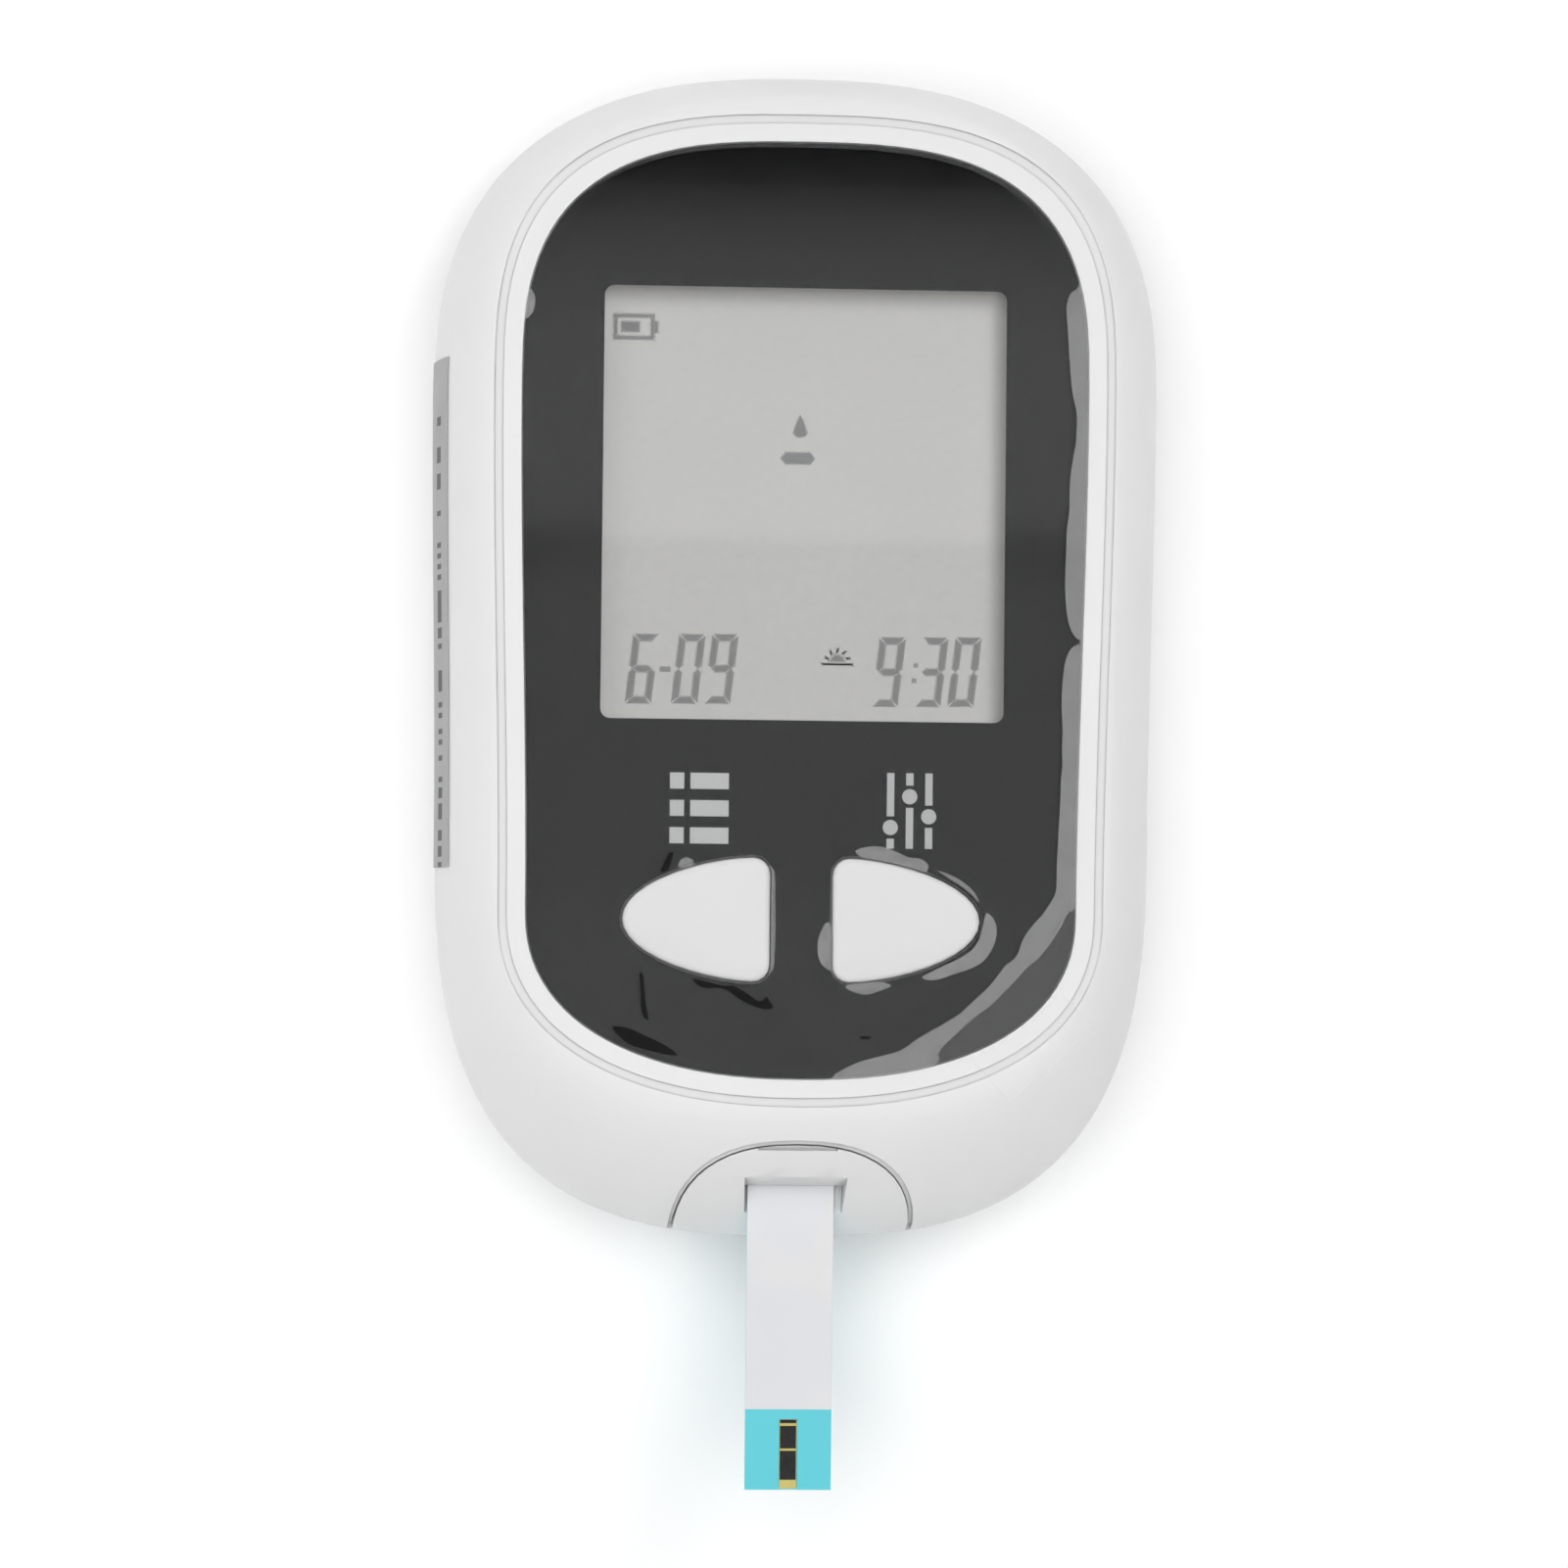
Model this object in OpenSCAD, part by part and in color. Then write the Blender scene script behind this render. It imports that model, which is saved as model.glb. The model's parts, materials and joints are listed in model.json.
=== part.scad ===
// Blood glucose meter lying on its back, display up, with a test strip in its port.
// Origin: centre of the flat back. +X right, +Y towards the top of the display, +Z up.

/* [Body] */
// Width across the shoulders
body_w = 59.8; // [59:0.1:64]
// Length of the housing, without the strip
body_l = 95.5; // [94.5:0.1:102]
// Thickness, from the flat back to the rim round the panel
body_h = 22; // [21.8:0.1:24]
// Height of the joint between the two shells
parting_z = 10; // [9:0.25:10.5]
// How far each side draws in from the shoulders to the hips
waist = 0.5; // [0:0.1:1.5]
// Wall of both shells
wall = 1.8; // [1.5:0.1:2]
// Length of the rounded top end, down to the widest place
shoulder_arc = 26.4; // [25:0.1:28]
// Length of the rounded port end, up to the hips
hip_arc = 33.1; // [31:0.1:35]
// How far the front curves in at the sides, from the joint to the flat rim
front_round = 4.7; // [4:0.1:5.1]
// How far the front slopes in at the port end
port_slope = 10.2; // [9:0.1:11]
// How far the back curves in, from the joint to the flat back
back_round = 5.5; // [4:0.25:6]
// Width of the groove line on the rim
groove_w = 0.7; // [0.5:0.1:0.9]
// Depth of that groove
groove_d = 0.15; // [0.1:0.05:0.4]

/* [Front panel] */
// Rim between the panel and the side of the housing
rim_side = 7.1; // [6.9:0.1:7.6]
// Rim between the panel and the top end
rim_top = 6.95; // [6.8:0.05:8]
// Slope and rim between the panel and the port end
rim_port = 13.15; // [12.6:0.05:14]
// Thickness of the clear panel
lens_t = 1.2; // [1:0.1:1.5]
// How far the panel lies below the rim
lens_drop = 0.1; // [0.1:0.05:0.3]
// Thickness of the dark print and its adhesive
mask_t = 0.15; // [0.1:0.05:0.25]
// Thickness of the clear protective film
film_t = 0.08; // [0.06:0.02:0.1]
// Width of the display window in the print
window_w = 32.6; // [30:0.2:33]
// Length of the display window in the print
window_l = 35; // [33:0.2:35.4]
// Place of the window's centre above the middle of the housing
window_y = 11.7; // [11:0.1:12]

/* [Buttons] */
// Length of a button, from its flat side to its tip
button_l = 11.9; // [10.5:0.1:12.2]
// Width of a button along its flat side
button_w = 10; // [9:0.1:10.2]
// Distance between the two flat sides
button_gap = 5; // [4.8:0.1:6.5]
// Place of the buttons below the middle of the housing
button_y = 21.9; // [21.6:0.1:22.8]
// How far the buttons stand above the rim
button_rise = 0.3; // [0.2:0.1:0.8]
// How far a button travels
button_travel = 0.5; // [0.3:0.05:0.6]

/* [Strip and port] */
// Width of the test strip
strip_w = 7; // [6:0.1:7.2]
// Length of the test strip
strip_l = 35; // [33:0.5:37]
// How much of the strip stands out of the housing
strip_out = 20.25; // [18:0.05:21]
// Thickness of the strip's base sheet
strip_base_t = 0.3; // [0.2:0.05:0.35]
// Length of the teal tip sheet
tip_l = 6.5; // [5.6:0.1:8]
// Width of the port cover
cover_w = 19.4; // [18.4:0.2:21]
// Length of the port cover, from its crown to the port end
cover_l = 7.8; // [7.4:0.1:8.2]
// Gap round the port cover
cover_gap = 0.35; // [0.25:0.05:0.45]

/* [Power] */
// Diameter of an AAA cell
cell_d = 10.5; // [10.1:0.1:10.5]
// Length of an AAA cell with its nub
cell_l = 44.5; // [43.5:0.1:44.5]
// Compressed length of a contact spring
spring_l = 3.6; // [3:0.1:4.2]
// Thickness of the battery door
door_t = 1.6; // [1.4:0.1:1.7]
// Running gap round the battery door
door_gap = 0.2; // [0.15:0.05:0.3]

/* [Board] */
// Thickness of the circuit board
board_t = 1; // [0.8:0.1:1.2]
// Diameter of the shell screws
screw_d = 1.8; // [1.6:0.1:2]
// Diameter of the board screws
board_screw_d = 1.4; // [1.2:0.1:1.6]

/* [Hidden] */

// Fineness of the lofted surfaces: points per rounded end, and rings
fine = 24;
coarse = 12;
// Small step that lets a cut pass a face, and the usual gap between still pieces
cut = 0.5;
fit = 0.1;

// Outlines: exponents of the rounded ends of the housing and of the panel
body_top_n = 2.55;
body_port_n = 2.82;
lens_top_n = 2.87;
lens_port_n = 2.29;
// Exponents of the front's and the back's section
front_n = 1.53;
back_n = 2.5;

top_y = body_l / 2;
port_y = -body_l / 2;
shoulder_y = top_y - shoulder_arc;
hip_y = port_y + hip_arc;
half_shoulder = body_w / 2;
half_hip = body_w / 2 - waist;
top_slope = front_round - 1.2;
back_ends = back_round + 0.5;

// Panel outline, and where its rounded ends begin
lens_top = top_y - rim_top;
lens_port = port_y + rim_port;
lens_side = half_shoulder - rim_side;
lens_hip = half_hip - rim_side - 0.25;
lens_top_arc = 19.6;
lens_port_arc = 13.3;
lens_shoulder_y = lens_top - lens_top_arc;
lens_hip_y = lens_port + lens_port_arc;
lens_fit = 0.12;
// Film: margin round the buttons, and its pull tab
film_hole = 0.5;
tab_w = 9;
tab_l = 7;
// Distance from the panel to the groove on the rim
groove_off = 1.6;

// Heights from the front down, with a thin bond line between layers
bond = 0.02;
lens_z = body_h - lens_drop - lens_t;
mask_z = lens_z - mask_t - bond;
ledge_t = 1.4;
ledge_z = mask_z - ledge_t;
film_z = lens_z + lens_t + bond;

// Heights from the back up
floor_t = door_t + door_gap;
cell_z = door_t + 0.25 + cell_d / 2;
bay_top = cell_z + cell_d / 2 + 0.2;
bay_wall = 0.8;
board_z = bay_top + bay_wall + 0.2;
board_top = board_z + board_t;
// Free height between the board and the ledge, shared by what stands on the board
head = ledge_z - board_top;

// Display stack
lcd_t = 1.4;
gasket_t = 0.3;
lcd_top = ledge_z - gasket_t;
lcd_z = lcd_top - lcd_t;
reflector_t = 0.2;
lcd_w = window_w + 5;
lcd_l = window_l + 6;
lcd_lug = 2.5;
frame_wall = 1.1;
// The frame's opening round the glass
lcd_clear = 0.15;

// Battery bay
cell_gap = 0.6;
cell_clear = 0.3;
cell_x = (cell_d + cell_gap) / 2;
bay_w = 2 * cell_d + cell_gap + 2 * cell_clear;
plate_t = 0.3;
plate_w = 8;
tail_w = 2;
bump_h = 1;
bump_d = 4.8;
nub_h = 0.8;
nub_d = 3.8;
spring_wire = 0.3;
spring_d = 6.8;
contact_gap = 0.1;
bay_l = cell_l + spring_l + bump_h + 2 * plate_t + 2 * contact_gap;
bay_mid = 7;
bay_y0 = bay_mid - bay_l / 2;
bay_y1 = bay_mid + bay_l / 2;
bay_side = 1.2;
door_lip = 1.6;
door_w = bay_w + 2 * door_lip;
door_y0 = bay_y0 - door_lip;
door_y1 = bay_y1 + door_lip;
// Round edge of the opening that the door tilts about
pivot_r = floor_t / 2 - 0.02;
pivot_y = door_y0 - door_gap - pivot_r;
pivot_z = floor_t / 2;
flange_w = 1.2;
// Hooks at the door's port end, latch at its other end
hook_x = 7;
hook_w = 5;
hook_reach = 2.4;
hook_t = 1;
hook_z = door_t + 0.45;
latch_w = 10;
latch_h = 4;
latch_t = 0.8;

// Screws
screw_xy = [[-13.5, 37.5], [13.5, 37.5], [-17.5, port_y + 16.8], [17.5, port_y + 16.8]];
screw_seat = 7;
screw_len = 8;
screw_head_d = 3.8;
screw_head_h = 1.4;
post_r = 2.8;
boss_r = 2.3;
board_screw_xy = [[-21.5, -14], [21.5, -14], [0, 36]];
board_screw_len = head - 0.6;
board_head_d = 3;
board_head_h = 1;

// Board outline
board_w = 47;
board_neck_w = 20;
board_hi = bay_y1 + 2;
board_tongue = 38.6;
board_lo = port_y + 9.6;
board_corner = 3;

// Parts under the board: width, length and height. One row of them stands at the board's
// port edge, the other one part_gap away from the battery bay.
chip_lead = 0.9;
part_gap = 1.2;
edge_gap = 1.7;
port_row = board_lo + edge_gap;
bay_row = bay_y0 - bay_side - part_gap;
memory_size = [5, 3.6, 1.4];
memory_at = [-3, port_row + chip_lead + memory_size[1] / 2];
amplifier_size = [4, 2.6, 1.2];
amplifier_at = [14.5, port_row + amplifier_size[1] / 2];
processor_size = [9, 7, 1.6];
processor_at = [7, bay_row - chip_lead - processor_size[1] / 2];
crystal_d = 3;
crystal_l = 6;
crystal_at = [15.5, bay_row - crystal_d / 2];
buzzer_d = 9.2;
buzzer_h = 3.4;
buzzer_at = [-10, bay_row - buzzer_d / 2];
capacitor_size = [2, 1.2, 1];
capacitor_pitch = 2.2;
capacitor_x = -2.5;
capacitor_at = [for (i = [0:2]) [capacitor_x, bay_row - capacitor_size[1] / 2 - i * capacitor_pitch],
    [capacitor_x + 1.3 * capacitor_pitch, bay_row - capacitor_size[1] / 2],
    [capacitor_x + 1.5 * capacitor_pitch, port_row], [capacitor_x - 3 * capacitor_pitch, port_row + 0.5]];

// Buttons
button_x = button_gap / 2;
button_top = body_h + button_rise;
button_fit = 0.2;
button_skirt = 0.9;
skirt_t = 0.15 * head;
button_corner = 1.4;
button_edge = 0.45;
// How much slimmer than an ellipse the button's outer end is
button_taper = 1.25;
// Crown on the button's top: how far two inner outlines shrink, and its height
crown_shrink = [0.8, 0.5];
crown_h = 0.1;
switch_w = 6;
switch_h = 0.42 * head;
switch_x = button_x + button_l * 0.48;
plunger_d = 3;
plunger_h = button_travel + 0.3;
stem_d = 4;

// Strip and port
connector_floor = 0.22 * head;
strip_z = board_top + connector_floor + 0.06;
electrode_t = 0.04;
cover_sheet_t = 0.16;
strip_t = strip_base_t + electrode_t + cover_sheet_t;
strip_tip_y = port_y - strip_out;
strip_end_y = strip_tip_y + strip_l;
strip_shift = -0.25;
strip_side = 0.45;
strip_chamfer = 0.7;
contact_end = 4;
channel_w = 1.5;
channel_l = 5.7;
reagent_t = 0.05;
// Ends of the reagent patches, measured from the strip's tip
reagent_spans = [[0.8, 3.19], [3.33, 5.2], [5.38, channel_l]];
slot_w = strip_w + 2 * strip_side;
slot_z = strip_z - 0.25;
slot_h = strip_t + 0.6;
notch_y = port_y + 5.5;
notch_back = 1.1;
notch_flare = 0.35;
cover_n = 2.4;
shut_d = 0.3;
clip_w = 1.6;
clip_l = 6;
clip_t = 0.9;
nail_w = 6.4;
nail_l = 0.45;
nail_d = 0.7;
port_tunnel_w = slot_w + 2.6;
connector_w = strip_w + 4.2;
connector_l = 8;
connector_h = 0.7 * head;
connector_y = board_lo - 0.8;
contact_x = [-2, 0, 2];

// Side label
label_z0 = parting_z + 0.5;
label_h = 5.4;
label_y0 = -17.8;
label_y1 = 23.7;
label_t = 0.12;
label_off = 0.03;

// ---- Curves ----

function mix(a, b, t) = a + (b - a) * t;
function ease(t) = t * t * (3 - 2 * t);

// Quarter of a superellipse, from the end on the Y axis to the widest place
function quarter(w, l, n, steps) = [for (i = [0:steps]) let (a = 90 - 90 * i / steps)
    [w * pow(cos(a), 2 / n), l * pow(sin(a), 2 / n)]];

// Right half of a pebble outline, from its top end to its port end
function right_half(ws, wh, top, low, ys, yh, nt, nb, k) = concat(
    [for (p = quarter(ws, top - ys, nt, k)) [p[0], ys + p[1]]],
    [for (j = [1:k / 2 - 1]) let (t = 2 * j / k) [mix(ws, wh, ease(t)), mix(ys, yh, t)]],
    [for (i = [0:k]) let (p = quarter(wh, yh - low, nb, k)[k - i]) [p[0], yh - p[1]]]);

function mirrored(r) = concat(r, [for (i = [len(r) - 2:-1:1]) [-r[i][0], r[i][1]]]);

// Housing outline drawn in by a side, a top and a port amount
function body_outline(side, top, port, k) = mirrored(right_half(half_shoulder - side,
    half_hip - side, top_y - top, port_y + port, shoulder_y, hip_y, body_top_n, body_port_n, k));

// Panel outline grown by an amount
function lens_outline(g, k) = mirrored(right_half(lens_side + g, lens_hip + g, lens_top + g,
    lens_port - g, lens_shoulder_y, lens_hip_y, lens_top_n, lens_port_n, k));

// How far the front has curved in at a height, from 0 at the joint to 1 at the rim
function front_in(z) = 1 - pow(1 - pow((z - parting_z) / (body_h - parting_z), front_n), 1 / front_n);
function back_in(z) = 1 - pow(1 - pow((parting_z - z) / parting_z, back_n), 1 / back_n);

function front_ring(z, inset, k) = let (f = front_in(z))
    body_outline(front_round * f + inset, top_slope * f + inset, port_slope * f + inset * 1.25, k);
function back_ring(z, inset, k) = let (f = back_in(z))
    body_outline(back_round * f + inset, back_ends * f + inset, back_ends * f + inset, k);

// Heights of the rings, close together where the section bends most
function front_z(i, steps) = parting_z
    + (body_h - parting_z) * pow(sin(90 * i / steps), 2 / front_n);
function back_z(i, steps) = parting_z * (1 - pow(cos(90 * i / steps), 2 / back_n));

// Closed solid through rings of equal length, listed from the lowest up
module loft(zs, rings) {
    n = len(rings[0]);
    m = len(rings);
    polyhedron(
        points = [for (k = [0:m - 1]) for (p = rings[k]) [p[0], p[1], zs[k]]],
        faces = concat(
            [[for (i = [n - 1:-1:0]) i]],
            [[for (i = [0:n - 1]) (m - 1) * n + i]],
            [for (k = [0:m - 2]) for (i = [0:n - 1]) let (j = (i + 1) % n)
                [k * n + j, (k + 1) * n + j, (k + 1) * n + i]],
            [for (k = [0:m - 2]) for (i = [0:n - 1]) let (j = (i + 1) % n)
                [k * n + j, (k + 1) * n + i, k * n + i]]));
}

module prism(z, h, pts) {
    translate([0, 0, z]) linear_extrude(h) polygon(pts);
}

module block(x, y, z) {
    translate([x[0], y[0], z[0]]) cube([x[1] - x[0], y[1] - y[0], z[1] - z[0]]);
}

module disc(xy, z, h, r) {
    translate([xy[0], xy[1], z]) cylinder(h = h, r = r, $fn = 48);
}

// Rounded rectangle as points: centre, size and corner radius
function rounded(c, w, l, r) = [for (q = [0:3]) for (i = [0:5]) let (a = 90 * q + 18 * i)
    [c[0] + (q == 0 || q == 3 ? 1 : -1) * (w / 2 - r) + r * cos(a),
     c[1] + (q < 2 ? 1 : -1) * (l / 2 - r) + r * sin(a)]];

// Button outline: flat side near the middle, elliptical tip outward, grown by g.
// side is -1 for the left button and 1 for the right one.
function button_outline(side, g) = let (
    a = button_l - button_corner, b = button_w / 2 - button_corner, r = button_corner + g,
    tip = [for (i = [0:20]) let (t = -80 + 8 * i)
        [(a + g) * pow(cos(t), button_taper), (button_w / 2 + g) * sin(t)]],
    hi = [for (t = [90:22.5:180]) [r * cos(t), b + r * sin(t)]],
    lo = [for (t = [180:22.5:270]) [r * cos(t), -b + r * sin(t)]])
    [for (p = concat(tip, hi, lo))
        [side * (button_x + button_corner + p[0]), -button_y + p[1]]];

// ---- Housing ----

module front_form() {
    zs = [for (i = [0:10]) front_z(i, 10)];
    loft(zs, [for (z = zs) front_ring(z, 0, fine)]);
}

// Space inside the front shell, up to the ledge under the panel, less a gap
module front_hollow(gap) {
    zs = [for (t = [0, 0.3, 0.55, 0.75, 0.9, 1]) mix(parting_z - cut, ledge_z, t)];
    loft(zs, [for (z = zs) front_ring(max(z, parting_z), wall + gap, coarse)]);
}

// The front form less a layer of the given depth
module front_core(depth) {
    zs = [for (t = [0, 0.2, 0.4, 0.55, 0.7, 0.85, 1]) mix(parting_z - 1, body_h, t)];
    loft(zs, [for (z = zs) front_ring(max(z, parting_z), depth, fine)]);
}

module back_form() {
    zs = [for (i = [0:7]) back_z(i, 7)];
    loft(zs, [for (z = zs) back_ring(z, 0, fine)]);
}

module back_hollow() {
    zs = [for (t = [0, 0.12, 0.3, 0.6, 1]) mix(floor_t, parting_z + cut, t)];
    loft(zs, [for (z = zs) back_ring(min(z, parting_z), wall, coarse)]);
}

// Arch of the port cover seen from above, grown by g
module arch(g, z, h) {
    w = cover_w / 2 + g;
    q = [for (p = quarter(w, cover_l + g, cover_n, 12)) [p[0], port_y + p[1]]];
    prism(z, h, concat(mirrored_open(q), [[-w, port_y - 3], [w, port_y - 3]]));
}
function mirrored_open(q) = concat([for (i = [len(q) - 1:-1:0]) q[i]],
    [for (i = [1:len(q) - 1]) [-q[i][0], q[i][1]]]);

module front_shell() {
    lip_in = wall - 0.9;
    color("white") difference() {
        union() {
            difference() {
                front_form();
                front_hollow(0);
            }
            for (p = screw_xy) disc(p, parting_z, ledge_z - parting_z + cut, boss_r);
            for (p = board_screw_xy) disc(p, board_top, ledge_z - board_top + cut, 2);
        }
        // Room for the rear shell's lip
        prism(parting_z - cut, cut + 1.3, body_outline(lip_in, lip_in, lip_in, fine));
        // Recess for the panel, display window and button holes
        prism(mask_z, body_h, lens_outline(lens_fit, fine));
        prism(ledge_z - cut, 2 + ledge_t, rounded([0, window_y], window_w + 1, window_l + 1, 1.2));
        for (side = [-1, 1]) prism(ledge_z - cut, 2 + ledge_t, button_outline(side, button_fit));
        // Groove line on the rim
        difference() {
            prism(body_h - groove_d, 1, lens_outline(groove_off + groove_w, fine));
            prism(body_h - groove_d - 1, 3, lens_outline(groove_off, fine));
        }
        arch(fit / 2, parting_z - 1, body_h);
        // Shallow groove round the port cover
        difference() {
            arch(cover_gap, parting_z - 1, body_h);
            front_core(shut_d);
        }
        for (p = screw_xy) disc(p, parting_z - cut, cut + screw_len, screw_d / 2 + 0.02);
        for (p = board_screw_xy) disc(p, board_top - cut, cut + board_screw_len, board_screw_d / 2 + 0.02);
    }
}

module rear_shell() {
    lip_in = wall - 0.8;
    z_gap = 0.12;
    hook_room = hook_w + 0.8;
    opening_w = door_w + 2 * door_gap;
    color("white") pivot_bar(opening_w + cut, pivot_r);
    color("white") difference() {
        union() {
            difference() {
                intersection() {
                    back_form();
                    block([-body_w, body_w], [-body_l, body_l], [-1, parting_z - z_gap]);
                }
                back_hollow();
            }
            // Lip that centres the front shell, open at the port cover
            difference() {
                prism(parting_z - 2, 3.1, body_outline(lip_in, lip_in, lip_in, fine));
                prism(parting_z - 3, 5, body_outline(wall, wall, wall, fine));
                block([-cover_w / 2 - 1, cover_w / 2 + 1], [port_y - 1, port_y + 8],
                    [parting_z - z_gap, parting_z + 3]);
            }
            // Battery bay with its seat for the door
            block([-bay_w / 2 - bay_side, bay_w / 2 + bay_side], [bay_y0 - bay_side, bay_y1 + bay_side],
                [0.5, bay_top + bay_wall]);
            block([-door_w / 2 - flange_w, door_w / 2 + flange_w], [door_y0 - flange_w, door_y1 + flange_w],
                [0.5, floor_t + 1]);
            for (p = screw_xy) disc(p, 0.5, parting_z - 0.5, post_r);
        }
        // Bay, door opening, hook slots, latch pocket and finger recess
        block([-bay_w / 2, bay_w / 2], [bay_y0, bay_y1], [-1, bay_top]);
        prism(-1, 1 + floor_t, rounded([0, (door_y0 + door_y1) / 2], opening_w,
            door_y1 - door_y0 + 2 * door_gap, 1.5));
        block([-opening_w / 2, opening_w / 2], [pivot_y, bay_y0], [-1, floor_t]);
        for (s = [-1, 1]) block([s * hook_x - hook_room / 2, s * hook_x + hook_room / 2],
            [door_y0 - hook_reach - 1, bay_y0 + cut], [floor_t, hook_z + hook_t + 1.3]);
        block([-latch_w / 2 - 0.4, latch_w / 2 + 0.4], [bay_y1 - cut, door_y1 + door_gap],
            [floor_t - cut, door_t + latch_h + 0.6]);
        translate([0, door_y1 + door_gap, -1.6]) scale([1, 0.5, 1]) cylinder(h = 2.5, r = 7, $fn = 64);
        // Slots for the contacts' tails through the bay's roof
        for (x = [-cell_x, cell_x]) block([x - 1.3, x + 1.3], [bay_y1 - plate_t - 0.2, bay_y1 + 0.05],
            [bay_top - cut, bay_top + 2]);
        for (p = screw_xy) {
            disc(p, -1, 1 + screw_seat, screw_head_d / 2 + 0.3);
            disc(p, -1, 2 + parting_z, screw_d / 2 + 0.05);
        }
    }
}

module port_cover() {
    reach = 1.5 * cover_l;
    color("white") difference() {
        union() {
            intersection() {
                front_form();
                arch(-fit / 2, parting_z + fit, body_h);
                union() {
                    difference() {
                        block([-cover_w, cover_w], [port_y - cut, port_y + reach], [parting_z, body_h]);
                        front_hollow(0);
                    }
                    block([-port_tunnel_w / 2, port_tunnel_w / 2], [port_y, port_y + reach],
                        [slot_z - flange_w, slot_z + slot_h + flange_w]);
                }
            }
            // Flange that clips behind the front wall
            intersection() {
                block([-cover_w / 2 - clip_w, cover_w / 2 + clip_w], [port_y, port_y + clip_l],
                    [slot_z - flange_w - clip_t, slot_z - clip_t]);
                front_hollow(fit);
            }
        }
        block([-slot_w / 2, slot_w / 2], [port_y - cut, port_y + reach], [slot_z, slot_z + slot_h]);
        // Notch over the strip: a slanted back wall and flared sides
        intersection() {
            translate([-slot_w, 0, 0]) rotate([90, 0, 90]) linear_extrude(2 * slot_w) polygon([
                [port_y - 2, slot_z], [notch_y - notch_back, slot_z],
                [notch_y - notch_back, slot_z + slot_h], [notch_y, body_h - 1.6],
                [notch_y + 0.4, body_h + 1], [port_y - 2, body_h + 1]]);
            translate([0, port_y + reach, 0]) rotate([90, 0, 0]) linear_extrude(2 * reach) polygon([
                [-slot_w / 2, slot_z], [slot_w / 2, slot_z],
                [slot_w / 2 + notch_flare, body_h], [-slot_w / 2 - notch_flare, body_h]]);
        }
        // Step at the crown, for a fingernail
        difference() {
            block([-nail_w / 2, nail_w / 2], [port_y + cover_l - nail_l, port_y + cover_l + 1],
                [parting_z, body_h]);
            front_core(nail_d);
        }
    }
}

// ---- Front panel ----

module panel_cuts(z, h) {
    for (side = [-1, 1]) prism(z, h, button_outline(side, button_fit));
}

module lens() {
    color("lightblue", 0.4) difference() {
        prism(lens_z, lens_t, lens_outline(0, fine));
        panel_cuts(lens_z - 1, lens_t + 2);
    }
}

module lens_mask() {
    color("dimgray") difference() {
        prism(mask_z, mask_t, lens_outline(0, fine));
        panel_cuts(mask_z - 1, mask_t + 2);
        prism(mask_z - 1, mask_t + 2, rounded([0, window_y], window_w, window_l, 0.8));
    }
}

// Film on the panel, with a pull tab that lies over the rim at the lower right
module protective_film() {
    tab_z = body_h + bond;
    root = 2.2;
    color("white", 0.3) {
        difference() {
            prism(film_z, film_t, lens_outline(-0.3, fine));
            for (side = [-1, 1]) prism(film_z - 1, 3, button_outline(side, film_hole));
        }
        translate([lens_hip - 6.4, lens_port + 6.4, 0]) rotate([0, 0, -48]) {
            prism(tab_z, film_t, [[-root, -tab_w / 2], [tab_l - 1, -tab_w / 2], [tab_l, -tab_w / 2 + 1],
                [tab_l, tab_w / 2 - 1], [tab_l - 1, tab_w / 2], [-root, tab_w / 2]]);
            block([-root, -root + 1], [-tab_w / 2, tab_w / 2], [film_z, tab_z + film_t]);
        }
    }
}

module side_label() {
    ys = [for (i = [0:24]) mix(label_y0, label_y1, i / 24)];
    zs = [for (i = [0:4]) mix(label_z0, label_z0 + label_h, i / 4)];
    n = len(ys);
    m = len(zs);
    // Left edge of the housing at a length and a height, moved outward by g
    function edge_x(y, z, g) = let (f = front_in(z), t = (shoulder_y - y) / (shoulder_y - hip_y))
        -(mix(half_shoulder, half_hip, ease(min(max(t, 0), 1))) - front_round * f + g)
        + (y > shoulder_y ? half_shoulder * (1 - pow(1 - pow((y - shoulder_y) / shoulder_arc, body_top_n),
            1 / body_top_n)) : 0)
        + (y < hip_y ? half_hip * (1 - pow(1 - pow((hip_y - y) / hip_arc, body_port_n),
            1 / body_port_n)) : 0);
    inner = [for (z = zs) for (y = ys) [edge_x(y, z, label_off), y, z]];
    outer = [for (z = zs) for (y = ys) [edge_x(y, z, label_off + label_t), y, z]];
    o = n * m;
    color("silver") polyhedron(points = concat(inner, outer), faces = concat(
        [for (k = [0:m - 2]) for (i = [0:n - 2]) each [
            [k * n + i, k * n + i + 1, (k + 1) * n + i + 1],
            [k * n + i, (k + 1) * n + i + 1, (k + 1) * n + i],
            [o + k * n + i, o + (k + 1) * n + i + 1, o + k * n + i + 1],
            [o + k * n + i, o + (k + 1) * n + i, o + (k + 1) * n + i + 1]]],
        [for (i = [0:n - 2]) each [
            [i, o + i, o + i + 1], [i, o + i + 1, i + 1],
            [(m - 1) * n + i, o + (m - 1) * n + i + 1, o + (m - 1) * n + i],
            [(m - 1) * n + i, (m - 1) * n + i + 1, o + (m - 1) * n + i + 1]]],
        [for (k = [0:m - 2]) each [
            [k * n, (k + 1) * n, o + (k + 1) * n], [k * n, o + (k + 1) * n, o + k * n],
            [k * n + n - 1, o + (k + 1) * n + n - 1, (k + 1) * n + n - 1],
            [k * n + n - 1, o + k * n + n - 1, o + (k + 1) * n + n - 1]]]));
}

// ---- Buttons and switches ----

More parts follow.
